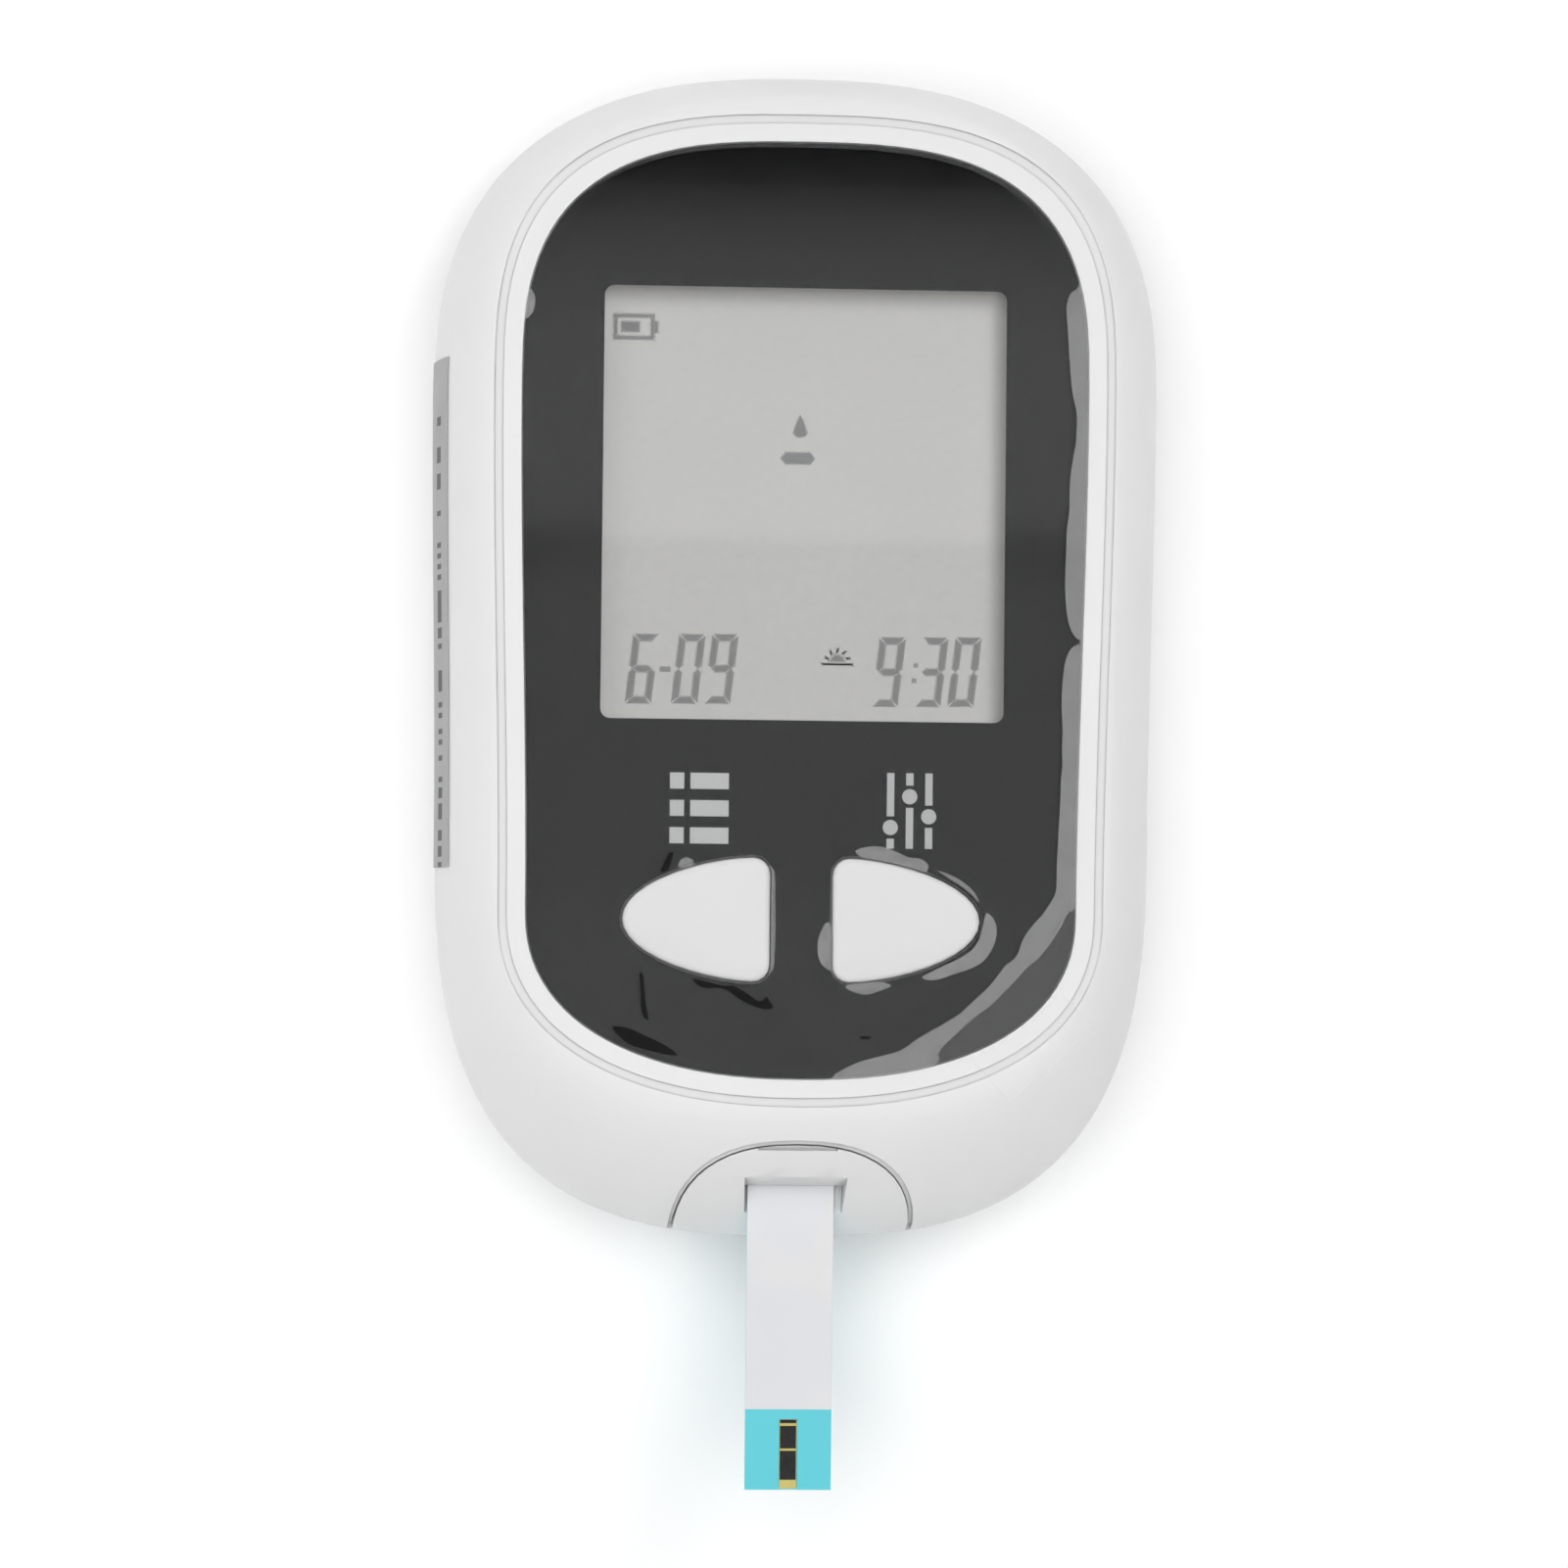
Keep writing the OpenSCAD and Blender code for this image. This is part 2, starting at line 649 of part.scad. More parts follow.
module button(side) {
    skirt_top = ledge_z - 0.08;
    stem_z = board_top + switch_h + plunger_h;
    edge_top = button_top - crown_h;
    zs = [skirt_top - skirt_t, button_top - 1.2, for (i = [0:4]) edge_top
        - button_edge * (1 - sin(22.5 * i)), button_top - 0.3 * crown_h, button_top];
    gs = [0, 0, for (i = [0:4]) -button_edge * (1 - cos(22.5 * i))];
    rings = [for (g = gs) button_outline(side, g), for (k = crown_shrink)
        shrunk(button_outline(side, -button_edge), [side * (button_x + 0.42 * button_l), -button_y], k)];
    color("white") {
        loft(zs, [for (ring = rings) turned(side, ring)]);
        difference() {
            prism(skirt_top - skirt_t, skirt_t, button_outline(side, button_skirt));
            prism(skirt_top - skirt_t - 1, skirt_t + 2, button_outline(side, -0.5));
        }
        disc([side * switch_x, -button_y], stem_z, skirt_top - stem_z, stem_d / 2);
    }
}
// Outline drawn smaller about a point
function shrunk(pts, c, k) = [for (p = pts) c + k * (p - c)];
// The left outline already runs clockwise, the right one is turned round
function turned(side, pts) = side < 0 ? pts : [for (i = [len(pts) - 1:-1:0]) pts[i]];

module left_button() {
    button(-1);
}

module right_button() {
    button(1);
}

module switch_plunger(side) {
    color("black") disc([side * switch_x, -button_y], board_top + switch_h - 0.7,
        plunger_h + 0.7 - 0.03, plunger_d / 2);
}

module left_switch_plunger() {
    switch_plunger(-1);
}

module right_switch_plunger() {
    switch_plunger(1);
}

module switch_housings() {
    for (side = [-1, 1]) color("gray") difference() {
        translate([side * switch_x, -button_y, board_top]) union() {
            translate([-switch_w / 2, -switch_w / 2, 0]) cube([switch_w, switch_w, switch_h]);
            for (u = [-1, 1]) for (v = [-1, 1]) translate([u * (switch_w / 2 + 0.4), v * 2.2, 0.15])
                cube([1, 0.7, 0.3], center = true);
        }
        disc([side * switch_x, -button_y], board_top + switch_h - 1.4, 2, plunger_d / 2 + 0.05);
    }
}

// ---- Display ----

module lcd_glass() {
    pane = lcd_t / 2;
    color("darkseagreen", 0.6) {
        block([-lcd_w / 2, lcd_w / 2], [window_y - lcd_l / 2, window_y + lcd_l / 2], [lcd_z, lcd_z + pane]);
        block([-lcd_w / 2, lcd_w / 2], [window_y - lcd_l / 2 + lcd_lug, window_y + lcd_l / 2],
            [lcd_z + pane, lcd_top]);
    }
}

module lcd_reflector() {
    color("lightgray") block([-window_w / 2 - 1, window_w / 2 + 1],
        [window_y - window_l / 2 - 0.6, window_y + window_l / 2 + 1], [lcd_z - reflector_t, lcd_z]);
}

module lcd_frame() {
    w = lcd_w / 2 + lcd_clear;
    l = lcd_l / 2 + lcd_clear;
    color("white") difference() {
        block([-w - frame_wall, w + frame_wall], [window_y - l - frame_wall, window_y + l + frame_wall],
            [board_top, lcd_top]);
        // Pocket for the glass, and the open middle below it
        block([-w, w], [window_y - l, window_y + l], [lcd_z, lcd_top + 1]);
        block([-window_w / 2 - 1.2, window_w / 2 + 1.2],
            [window_y - window_l / 2 - 0.8, window_y + window_l / 2 + 1.2], [board_top - 1, lcd_z + 1]);
        // Slots for the two connector strips
        for (s = [-1, 1]) block([-lcd_w / 2 + 1.5, lcd_w / 2 - 1.5],
            connector_span(s, 0.1), [board_top - 1, lcd_z + 1]);
    }
}
// Place of a display connector strip along Y, grown by g
function connector_span(s, g) = let (c = window_y + s * (lcd_l / 2 - 1.2)) [c - 0.8 - g, c + 0.8 + g];

module lcd_connectors() {
    for (s = [-1, 1]) color("hotpink") block([-lcd_w / 2 + 1.6, lcd_w / 2 - 1.6],
        connector_span(s, 0), [board_top, lcd_z]);
}

module lcd_gasket() {
    color("black") difference() {
        block([-lcd_w / 2, lcd_w / 2], [window_y - lcd_l / 2 + lcd_lug, window_y + lcd_l / 2],
            [lcd_top, ledge_z]);
        block([-window_w / 2 - 0.7, window_w / 2 + 0.7],
            [window_y - window_l / 2 - 0.4, window_y + window_l / 2 + 0.7], [lcd_top - 1, ledge_z + 1]);
    }
}

// ---- Board ----

module circuit_board() {
    w = board_w / 2;
    nw = board_neck_w / 2;
    c = board_corner;
    color("green") difference() {
        prism(board_z, board_t, [[-w, board_hi - c], [-w + c, board_hi], [-nw, board_hi],
            [-nw, board_tongue], [nw, board_tongue], [nw, board_hi], [w - c, board_hi],
            [w, board_hi - c], [w, board_lo + 6 * c], [4 * c, board_lo], [-4 * c, board_lo],
            [-w, board_lo + 6 * c]]);
        for (p = screw_xy) disc(p, board_z - 1, board_t + 2, boss_r + 0.4);
        for (p = board_screw_xy) disc(p, board_z - 1, board_t + 2, board_screw_d / 2 + 0.1);
    }
}

// Moulded chip under the board with a row of leads along both long sides
module chip(at, size, leads) {
    pitch = size[0] / leads;
    w = size[0];
    l = size[1];
    h = size[2];
    translate([at[0], at[1], board_z - h]) {
        translate([-w / 2, -l / 2, 0]) cube([w, l, 0.9 * h]);
        for (s = [-1, 1]) for (i = [0:leads - 1])
            translate([-w / 2 + (i + 0.3) * pitch, s > 0 ? l / 2 : -l / 2 - chip_lead, 0.75 * h])
                cube([0.4 * pitch, chip_lead, 0.25 * h]);
    }
}

module processor() {
    color("black") chip(processor_at, processor_size, 9);
}

module small_chips() {
    color("black") {
        chip(memory_at, memory_size, 4);
        chip(amplifier_at, amplifier_size, 3);
    }
}

module crystal() {
    color("silver") translate([crystal_at[0], crystal_at[1], board_z - crystal_d / 2]) {
        translate([-crystal_l / 2, 0, 0]) rotate([0, 90, 0])
            cylinder(h = crystal_l, d = crystal_d, $fn = 32);
        translate([crystal_l / 2, -crystal_d / 6, crystal_d / 3])
            cube([crystal_l / 4, crystal_d / 3, crystal_d / 6]);
    }
}

module capacitors() {
    color("tan") for (p = capacitor_at)
        translate([p[0] - capacitor_size[0] / 2, p[1] - capacitor_size[1] / 2,
            board_z - capacitor_size[2]]) cube(capacitor_size);
}

module buzzer() {
    color("black") difference() {
        disc(buzzer_at, board_z - buzzer_h, buzzer_h, buzzer_d / 2);
        disc(buzzer_at, board_z - buzzer_h - 1, 2, buzzer_d / 10);
    }
}

module board_screws() {
    for (p = board_screw_xy) color("silver") difference() {
        union() {
            disc(p, board_z - board_head_h, board_head_h, board_head_d / 2);
            disc(p, board_z - board_head_h, board_head_h + board_t + board_screw_len - 0.6,
                board_screw_d / 2);
        }
        cross_recess(p, board_z - board_head_h, 1.6, 0.5);
    }
}

module shell_screws() {
    for (p = screw_xy) color("silver") difference() {
        union() {
            disc(p, screw_seat - screw_head_h, screw_head_h, screw_head_d / 2);
            disc(p, screw_seat - screw_head_h, screw_head_h + screw_len, screw_d / 2);
        }
        cross_recess(p, screw_seat - screw_head_h, 2.2, 0.8);
    }
}

// Cross recess in a screw head that faces down
module cross_recess(p, z, w, d) {
    for (a = [0, 90]) translate([p[0], p[1], z]) rotate([0, 0, a + 45])
        translate([-w / 2, -0.25, -1]) cube([w, 0.5, 1 + d]);
}

// ---- Strip connector and test strip ----

module strip_connector() {
    y0 = connector_y;
    in_w = strip_w + 2 * strip_side;
    color("ivory") difference() {
        block([-connector_w / 2, connector_w / 2], [y0, y0 + connector_l],
            [board_top, board_top + connector_h]);
        block([-in_w / 2, in_w / 2], [y0 - 1, strip_end_y + 0.4],
            [board_top + connector_floor, strip_z + strip_t + 0.25]);
        // Slots for the contacts in the roof
        for (x = contact_x) block([x - 0.5, x + 0.5], [y0 + 2, y0 + connector_l + 1],
            [strip_z + strip_t, board_top + connector_h + 1]);
    }
}

// Bent sheet seen from its edge: a path of points given a thickness
function along(p, i) = let (d = p[min(i + 1, len(p) - 1)] - p[max(i - 1, 0)]) d / norm(d);
function sheet_edge(p, t) = concat(
    [for (i = [0:len(p) - 1]) p[i] + t / 2 * [-along(p, i)[1], along(p, i)[0]]],
    [for (i = [len(p) - 1:-1:0]) p[i] - t / 2 * [-along(p, i)[1], along(p, i)[0]]]);

// Sprung gold leaves that press on the strip, each with a foot on the board
module strip_contacts() {
    leaf_t = 0.2;
    leaf_w = 0.6;
    y_touch = strip_end_y - 1.6;
    y_back = connector_y + connector_l + 0.35;
    z_touch = strip_z + strip_base_t + electrode_t + leaf_t / 2 + 0.04;
    z_roof = board_top + 0.79 * connector_h;
    color("gold") for (x = contact_x) translate([x - leaf_w / 2, 0, 0])
        rotate([90, 0, 90]) linear_extrude(leaf_w) polygon(sheet_edge([
            [y_touch - 0.7, z_touch + 0.5], [y_touch, z_touch], [y_touch + 0.6, z_touch + 0.2],
            [y_back - 0.3, z_roof], [y_back, z_roof - 0.3], [y_back, board_top + 0.4],
            [y_back + 0.3, board_top + leaf_t / 2], [y_back + 1.2, board_top + leaf_t / 2]], leaf_t));
}

module strip_sheet(y0, y1, z, t) {
    block([strip_shift - strip_w / 2, strip_shift + strip_w / 2], [y0, y1], [z, z + t]);
}

module strip_base() {
    l = strip_shift - strip_w / 2;
    r = strip_shift + strip_w / 2;
    color("turquoise") prism(strip_z, strip_base_t, [[l, strip_tip_y], [l, strip_end_y - strip_chamfer],
        [l + strip_chamfer, strip_end_y], [r - strip_chamfer, strip_end_y],
        [r, strip_end_y - strip_chamfer], [r, strip_tip_y]]);
}

module strip_electrodes() {
    z = strip_z + strip_base_t;
    color("gold") {
        for (x = contact_x) block([strip_shift + x - 0.7, strip_shift + x + 0.7],
            [strip_tip_y + 0.1, strip_end_y - 0.9], [z, z + electrode_t]);
    }
}

module strip_cover() {
    color("white") strip_sheet(strip_tip_y + tip_l, strip_end_y - contact_end,
        strip_z + strip_base_t + electrode_t, cover_sheet_t);
}

module strip_tip() {
    z = strip_z + strip_base_t + electrode_t;
    color("turquoise") difference() {
        strip_sheet(strip_tip_y, strip_tip_y + tip_l, z, cover_sheet_t);
        block([strip_shift - channel_w / 2, strip_shift + channel_w / 2],
            [strip_tip_y - 1, strip_tip_y + channel_l], [z - 1, z + 1]);
    }
}

// Dark reagent on the middle electrode, in the channel that draws up the blood
module strip_reagent() {
    z = strip_z + strip_base_t + electrode_t;
    w = channel_w - 0.2;
    color("dimgray") for (span = reagent_spans)
        block([strip_shift - w / 2, strip_shift + w / 2], [strip_tip_y + span[0], strip_tip_y + span[1] - 0.05],
            [z, z + reagent_t]);
}

// ---- Power ----

module pivot_bar(l, r) {
    translate([-l / 2, pivot_y, pivot_z]) rotate([0, 90, 0]) cylinder(h = l, r = r, $fn = 48);
}

module battery_door() {
    y_mid = (door_y0 + door_y1) / 2;
    color("white") difference() {
        union() {
            prism(0, door_t, rounded([0, y_mid], door_w, door_y1 - door_y0, 1.3));
            block([-door_w / 2, door_w / 2], [pivot_y + 0.1, door_y0 + door_lip], [0, door_t]);
            // Ridge between the cells
            block([-0.6, 0.6], [bay_y0 + 4, bay_y1 - 4], [door_t - 0.2, door_t + 1.6]);
            for (s = [-1, 1]) {
                block([s * hook_x - hook_w / 2, s * hook_x + hook_w / 2],
                    [door_y0 + 0.2, door_y0 + 1.2], [door_t - 0.4, hook_z + hook_t]);
                block([s * hook_x - hook_w / 2, s * hook_x + hook_w / 2],
                    [door_y0 - hook_reach, door_y0 + 1.2], [hook_z, hook_z + hook_t]);
            }
            block([-latch_w / 2, latch_w / 2], [door_y1 - 0.5 - latch_t, door_y1 - 0.5],
                [door_t - 0.4, door_t + latch_h]);
        }
        // Hollow end that turns round the shell's edge, and grip lines for a thumb
        pivot_bar(2 * door_w, pivot_r + door_gap);
        for (i = [0:4]) block([-5, 5], [door_y1 - 4 - 1.5 * i, door_y1 - 3.4 - 1.5 * i], [-1, 0.3]);
    }
}

module cell(x, plus) {
    body_len = cell_l - nub_h;
    y0 = plus > 0 ? bay_y0 + plate_t + spring_l + contact_gap : bay_y1 - plate_t - spring_l - contact_gap;
    color("slategray") translate([x, y0, cell_z]) rotate([plus > 0 ? -90 : 90, 0, 0]) {
        cylinder(h = body_len, d = cell_d, $fn = 64);
        translate([0, 0, body_len]) cylinder(h = nub_h, d = nub_d, $fn = 32);
    }
}

module battery_left() {
    cell(-cell_x, 1);
}

module battery_right() {
    cell(cell_x, -1);
}

// Conical contact spring: wire swept along a helix whose radius falls with height
module spring(wire, r0, r1, h, turns) {
    sides = 6;
    rings = 12 * turns;
    function at(t) = let (a = 360 * turns * t, r = mix(r0, r1, t))
        [r * cos(a), r * sin(a), mix(wire, h - wire, t)];
    pts = [for (k = [0:rings]) let (t = k / rings, p = at(t), a = 360 * turns * t)
        for (i = [0:sides - 1]) let (b = 360 * i / sides)
            [p[0] + wire * cos(b) * cos(a), p[1] + wire * cos(b) * sin(a), p[2] + wire * sin(b)]];
    polyhedron(points = pts, faces = concat(
        [[for (i = [sides - 1:-1:0]) i]],
        [[for (i = [0:sides - 1]) rings * sides + i]],
        [for (k = [0:rings - 1]) for (i = [0:sides - 1]) let (j = (i + 1) % sides) each [
            [k * sides + i, (k + 1) * sides + j, (k + 1) * sides + i],
            [k * sides + i, k * sides + j, (k + 1) * sides + j]]]));
}

module contact_plate(x, y, w) {
    block([x - w / 2, x + w / 2], [y, y + plate_t], [hook_z + hook_t + 1.6, bay_top - 0.3]);
}

// Tail from a plate up through the roof of the bay to the board
module contact_tail(x, y) {
    block([x - tail_w / 2, x + tail_w / 2], [y, y + plate_t], [bay_top - 1, board_z]);
}

// Dimple that meets a cell's nub
module contact_bump() {
    cylinder(h = bump_h, d1 = bump_d, d2 = bump_d * 2 / 3, $fn = 32);
}

module contact_spring() {
    spring(spring_wire, spring_d / 2, spring_d / 2 - 1.4, spring_l + 0.1, 4);
}

module positive_contact() {
    y = bay_y1 - plate_t;
    color("silver") {
        contact_plate(-cell_x, y, plate_w);
        contact_tail(-cell_x, y);
        translate([-cell_x, y, cell_z]) rotate([90, 0, 0]) contact_bump();
    }
}

module negative_contact() {
    y = bay_y1 - plate_t;
    color("silver") {
        contact_plate(cell_x, y, plate_w);
        contact_tail(cell_x, y);
        translate([cell_x, y + 0.1, cell_z]) rotate([90, 0, 0]) contact_spring();
    }
}

module bridge_contact() {
    y = bay_y0 + plate_t;
    color("silver") {
        contact_plate(0, bay_y0, 2 * cell_x + plate_w);
        translate([cell_x, y, cell_z]) rotate([-90, 0, 0]) contact_bump();
        translate([-cell_x, y - 0.1, cell_z]) rotate([-90, 0, 0]) contact_spring();
    }
}

front_shell();
rear_shell();
port_cover();
lens();
lens_mask();
protective_film();
left_button();
right_button();
left_switch_plunger();
right_switch_plunger();
switch_housings();
side_label();
lcd_glass();
lcd_reflector();
lcd_frame();
lcd_gasket();
lcd_connectors();
circuit_board();
processor();
small_chips();
crystal();
capacitors();
buzzer();
strip_connector();
strip_contacts();
battery_door();
battery_left();
battery_right();
positive_contact();
negative_contact();
bridge_contact();
shell_screws();
board_screws();
strip_base();
strip_electrodes();
strip_cover();
strip_tip();
strip_reagent();
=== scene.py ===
"""Blood glucose meter lying on a pale table: finishes, marks, peel-off film, lamps, camera.

The CAD nodes keep their shapes. This file smooths their shading, gives each one its finish, and
adds what lies on them: the marks on the display, the symbols printed behind the panel, and the
protective film with the places where it has come loose.
Lengths are typed in millimetres and turned into metres where a mesh is made.
"""

import json
import math

import bpy
import numpy as np
from mathutils import Matrix, Vector, noise
from mathutils.geometry import delaunay_2d_cdt


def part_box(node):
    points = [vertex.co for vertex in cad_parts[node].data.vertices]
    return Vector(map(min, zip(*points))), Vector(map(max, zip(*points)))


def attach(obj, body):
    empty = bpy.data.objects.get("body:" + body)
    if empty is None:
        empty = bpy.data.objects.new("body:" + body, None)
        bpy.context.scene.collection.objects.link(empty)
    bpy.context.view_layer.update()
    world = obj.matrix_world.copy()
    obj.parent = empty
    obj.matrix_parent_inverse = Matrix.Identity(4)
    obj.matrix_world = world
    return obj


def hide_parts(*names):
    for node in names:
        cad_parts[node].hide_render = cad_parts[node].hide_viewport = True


MM = 0.001
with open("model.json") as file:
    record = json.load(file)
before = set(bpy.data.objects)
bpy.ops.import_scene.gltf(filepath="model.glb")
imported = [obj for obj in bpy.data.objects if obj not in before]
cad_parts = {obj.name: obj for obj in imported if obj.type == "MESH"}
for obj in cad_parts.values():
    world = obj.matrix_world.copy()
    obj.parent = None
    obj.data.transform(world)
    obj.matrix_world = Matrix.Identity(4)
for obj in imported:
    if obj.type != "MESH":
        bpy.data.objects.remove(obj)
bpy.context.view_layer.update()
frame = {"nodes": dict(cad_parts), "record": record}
nodes = frame["nodes"]


# ---- Shader parts ----

def level(grey):
    """Linear value of a grey level from 0 to 255."""
    c = grey / 255
    return c / 12.92 if c <= 0.04045 else ((c + 0.055) / 1.055) ** 2.4


def tint(r, g, b):
    """Linear colour of a screen colour."""
    return (level(r), level(g), level(b), 1)


def grey(value):
    return (level(value), level(value), level(value), 1)


def place(tree, kind, **settings):
    """Adds a shader node. A setting is one of its properties or, with _ for a space, a socket."""
    made = tree.nodes.new("ShaderNode" + kind)
    for key, value in settings.items():
        if key in made.bl_rna.properties:
            setattr(made, key, value)
        else:
            made.inputs[key.replace("_", " ")].default_value = value
    return made


def feed(tree, socket, term):
    """Gives a socket another node's output, or a value of its own."""
    if isinstance(term, bpy.types.NodeSocket):
        tree.links.new(term, socket)
    else:
        socket.default_value = term


def math_of(tree, operation, *terms):
    """Adds a Math node on numbers or outputs, and returns its result."""
    made = place(tree, "Math", operation=operation)
    for socket, term in zip(made.inputs, terms):
        feed(tree, socket, term)
    return made.outputs[0]


def mixed(tree, share, first, second, data_type="RGBA", **settings):
    """Adds a Mix node of colours, or of numbers with data_type FLOAT, and returns its result."""
    made = place(tree, "Mix", data_type=data_type, **settings)
    a, b, result = (2, 3, 0) if data_type == "FLOAT" else (6, 7, 2)
    for index, term in ((0, share), (a, first), (b, second)):
        feed(tree, made.inputs[index], term)
    return made.outputs[result]


def mixed_shaders(tree, share, first, second):
    """Adds a Mix Shader on three outputs, and returns its result."""
    made = place(tree, "MixShader")
    for socket, output in zip(made.inputs, (share, first, second)):
        tree.links.new(output, socket)
    return made.outputs[0]


def graded(tree, value, start, end, low, high, kind="LINEAR"):
    """Ramp that turns a value at start into low and at end into high, and holds beyond them."""
    ramp = place(tree, "MapRange", interpolation_type=kind, From_Min=start, From_Max=end,
                 To_Min=low, To_Max=high)
    feed(tree, ramp.inputs["Value"], value)
    return ramp.outputs["Result"]


def position(tree, kind="Object"):
    """X, Y and Z of the shaded point in metres, or of the direction in a world's shader."""
    where = place(tree, "TexCoord")
    parts = place(tree, "SeparateXYZ")
    tree.links.new(where.outputs[kind], parts.inputs[0])
    return parts.outputs


def open_group(name, inputs, outputs):
    """Starts a node group and returns it with its input and output nodes."""
    group = bpy.data.node_groups.new(name, "ShaderNodeTree")
    for label, kind, value in inputs:
        socket = group.interface.new_socket(label, in_out="INPUT", socket_type="NodeSocket" + kind)
        socket.default_value = value
    for label, kind in outputs:
        group.interface.new_socket(label, in_out="OUTPUT", socket_type="NodeSocket" + kind)
    return group, group.nodes.new("NodeGroupInput"), group.nodes.new("NodeGroupOutput")


def grain_group():
    """Fine moulded or sprayed texture, as a normal."""
    group, given, out = open_group(
        "surface grain",
        [("Scale", "Float", 3000.0), ("Strength", "Float", 0.1), ("Detail", "Float", 3.0)],
        [("Normal", "Vector")])
    where = place(group, "TexCoord")
    texture = place(group, "TexNoise", Roughness=0.6)
    bump = place(group, "Bump", Distance=0.00004)
    group.links.new(where.outputs["Object"], texture.inputs["Vector"])
    group.links.new(given.outputs["Scale"], texture.inputs["Scale"])
    group.links.new(given.outputs["Detail"], texture.inputs["Detail"])
    group.links.new(texture.outputs["Fac"], bump.inputs["Height"])
    group.links.new(given.outputs["Strength"], bump.inputs["Strength"])
    group.links.new(bump.outputs["Normal"], out.inputs["Normal"])
    return group


def drift_group():
    """Slow change of colour over a surface, with a finer mottle on top."""
    group, given, out = open_group(
        "tone drift",
        [("First", "Color", (0.8, 0.8, 0.8, 1)), ("Second", "Color", (0.7, 0.7, 0.7, 1)),
         ("Scale", "Float", 60.0), ("Mottle", "Float", 0.3)],
        [("Color", "Color"), ("Mask", "Float")])
    finer = 14.0
    where = place(group, "TexCoord")
    broad = place(group, "TexNoise", Detail=2.0)
    fine = place(group, "TexNoise", Detail=4.0)
    fine_scale = math_of(group, "MULTIPLY", given.outputs["Scale"], finer)
    for texture, scale in ((broad, given.outputs["Scale"]), (fine, fine_scale)):
        group.links.new(where.outputs["Object"], texture.inputs["Vector"])
        group.links.new(scale, texture.inputs["Scale"])
    blend = mixed(group, given.outputs["Mottle"], broad.outputs["Fac"], fine.outputs["Fac"],
                  data_type="FLOAT")
    mask = graded(group, blend, 0.3, 0.7, 0.0, 1.0)
    colour = mixed(group, mask, given.outputs["First"], given.outputs["Second"])
    group.links.new(colour, out.inputs["Color"])
    group.links.new(mask, out.inputs["Mask"])
    return group


def rub_group():
    """Roughness that changes where hands and boxes have rubbed a surface."""
    group, given, out = open_group(
        "rubbed sheen",
        [("Low", "Float", 0.3), ("High", "Float", 0.5), ("Scale", "Float", 90.0)],
        [("Roughness", "Float")])
    where = place(group, "TexCoord")
    texture = place(group, "TexNoise", Detail=5.0, Roughness=0.65)
    spread = place(group, "MapRange", From_Min=0.32, From_Max=0.68)
    group.links.new(where.outputs["Object"], texture.inputs["Vector"])
    group.links.new(given.outputs["Scale"], texture.inputs["Scale"])
    group.links.new(texture.outputs["Fac"], spread.inputs["Value"])
    group.links.new(given.outputs["Low"], spread.inputs["To Min"])
    group.links.new(given.outputs["High"], spread.inputs["To Max"])
    group.links.new(spread.outputs["Result"], out.inputs["Roughness"])
    return group


def streak_group():
    """Drawing lines along a rolled or turned metal, as a normal and a mask."""
    group, given, out = open_group(
        "drawn lines",
        [("Stretch", "Vector", (400.0, 6000.0, 400.0)), ("Strength", "Float", 0.1)],
        [("Normal", "Vector"), ("Mask", "Float")])
    where = place(group, "TexCoord")
    scaled = place(group, "VectorMath", operation="MULTIPLY")
    texture = place(group, "TexNoise", Scale=1.0, Detail=2.0)
    bump = place(group, "Bump", Distance=0.00002)
    group.links.new(where.outputs["Object"], scaled.inputs[0])
    group.links.new(given.outputs["Stretch"], scaled.inputs[1])
    group.links.new(scaled.outputs[0], texture.inputs["Vector"])
    group.links.new(texture.outputs["Fac"], bump.inputs["Height"])
    group.links.new(given.outputs["Strength"], bump.inputs["Strength"])
    group.links.new(bump.outputs["Normal"], out.inputs["Normal"])
    group.links.new(texture.outputs["Fac"], out.inputs["Mask"])
    return group


GRAIN = grain_group()
DRIFT = drift_group()
RUB = rub_group()
STREAK = streak_group()


def use_group(tree, group, **values):
    made = tree.nodes.new("ShaderNodeGroup")
    made.node_tree = group
    for key, value in values.items():
        made.inputs[key].default_value = value
    return made


def start_material(name, **values):
    """A material with a Principled shader, which takes the given values on its own sockets."""
    material = bpy.data.materials.new(name)
    material.use_nodes = True
    shader = material.node_tree.nodes["Principled BSDF"]
    for key, value in values.items():
        shader.inputs[key.replace("_", " ")].default_value = value
    return material, material.node_tree, shader


def moulded(name, first, second, low, high, scale=60.0, mottle=0.3, grain=3000.0, strength=0.1,
            **values):
    """Plastic, rubber, paper or print: two close tones, a sheen that changes and a fine grain."""
    material, tree, shader = start_material(name, **values)
    drift = use_group(tree, DRIFT, First=first, Second=second, Scale=scale, Mottle=mottle)
    rub = use_group(tree, RUB, Low=low, High=high, Scale=scale * 1.6)
    texture = use_group(tree, GRAIN, Scale=grain, Strength=strength)
    tree.links.new(drift.outputs["Color"], shader.inputs["Base Color"])
    tree.links.new(rub.outputs["Roughness"], shader.inputs["Roughness"])
    tree.links.new(texture.outputs["Normal"], shader.inputs["Normal"])
    return material


def metal(name, first, second, low, high, stretch, strength=0.1, metallic=1.0):
    """Rolled, drawn or plated metal with lines along its working direction."""
    material, tree, shader = start_material(name, Metallic=metallic)
    drift = use_group(tree, DRIFT, First=first, Second=second, Scale=220.0, Mottle=0.4)
    rub = use_group(tree, RUB, Low=low, High=high, Scale=300.0)
    lines = use_group(tree, STREAK, Stretch=stretch, Strength=strength)
    tree.links.new(drift.outputs["Color"], shader.inputs["Base Color"])
    tree.links.new(rub.outputs["Roughness"], shader.inputs["Roughness"])
    tree.links.new(lines.outputs["Normal"], shader.inputs["Normal"])
    return material


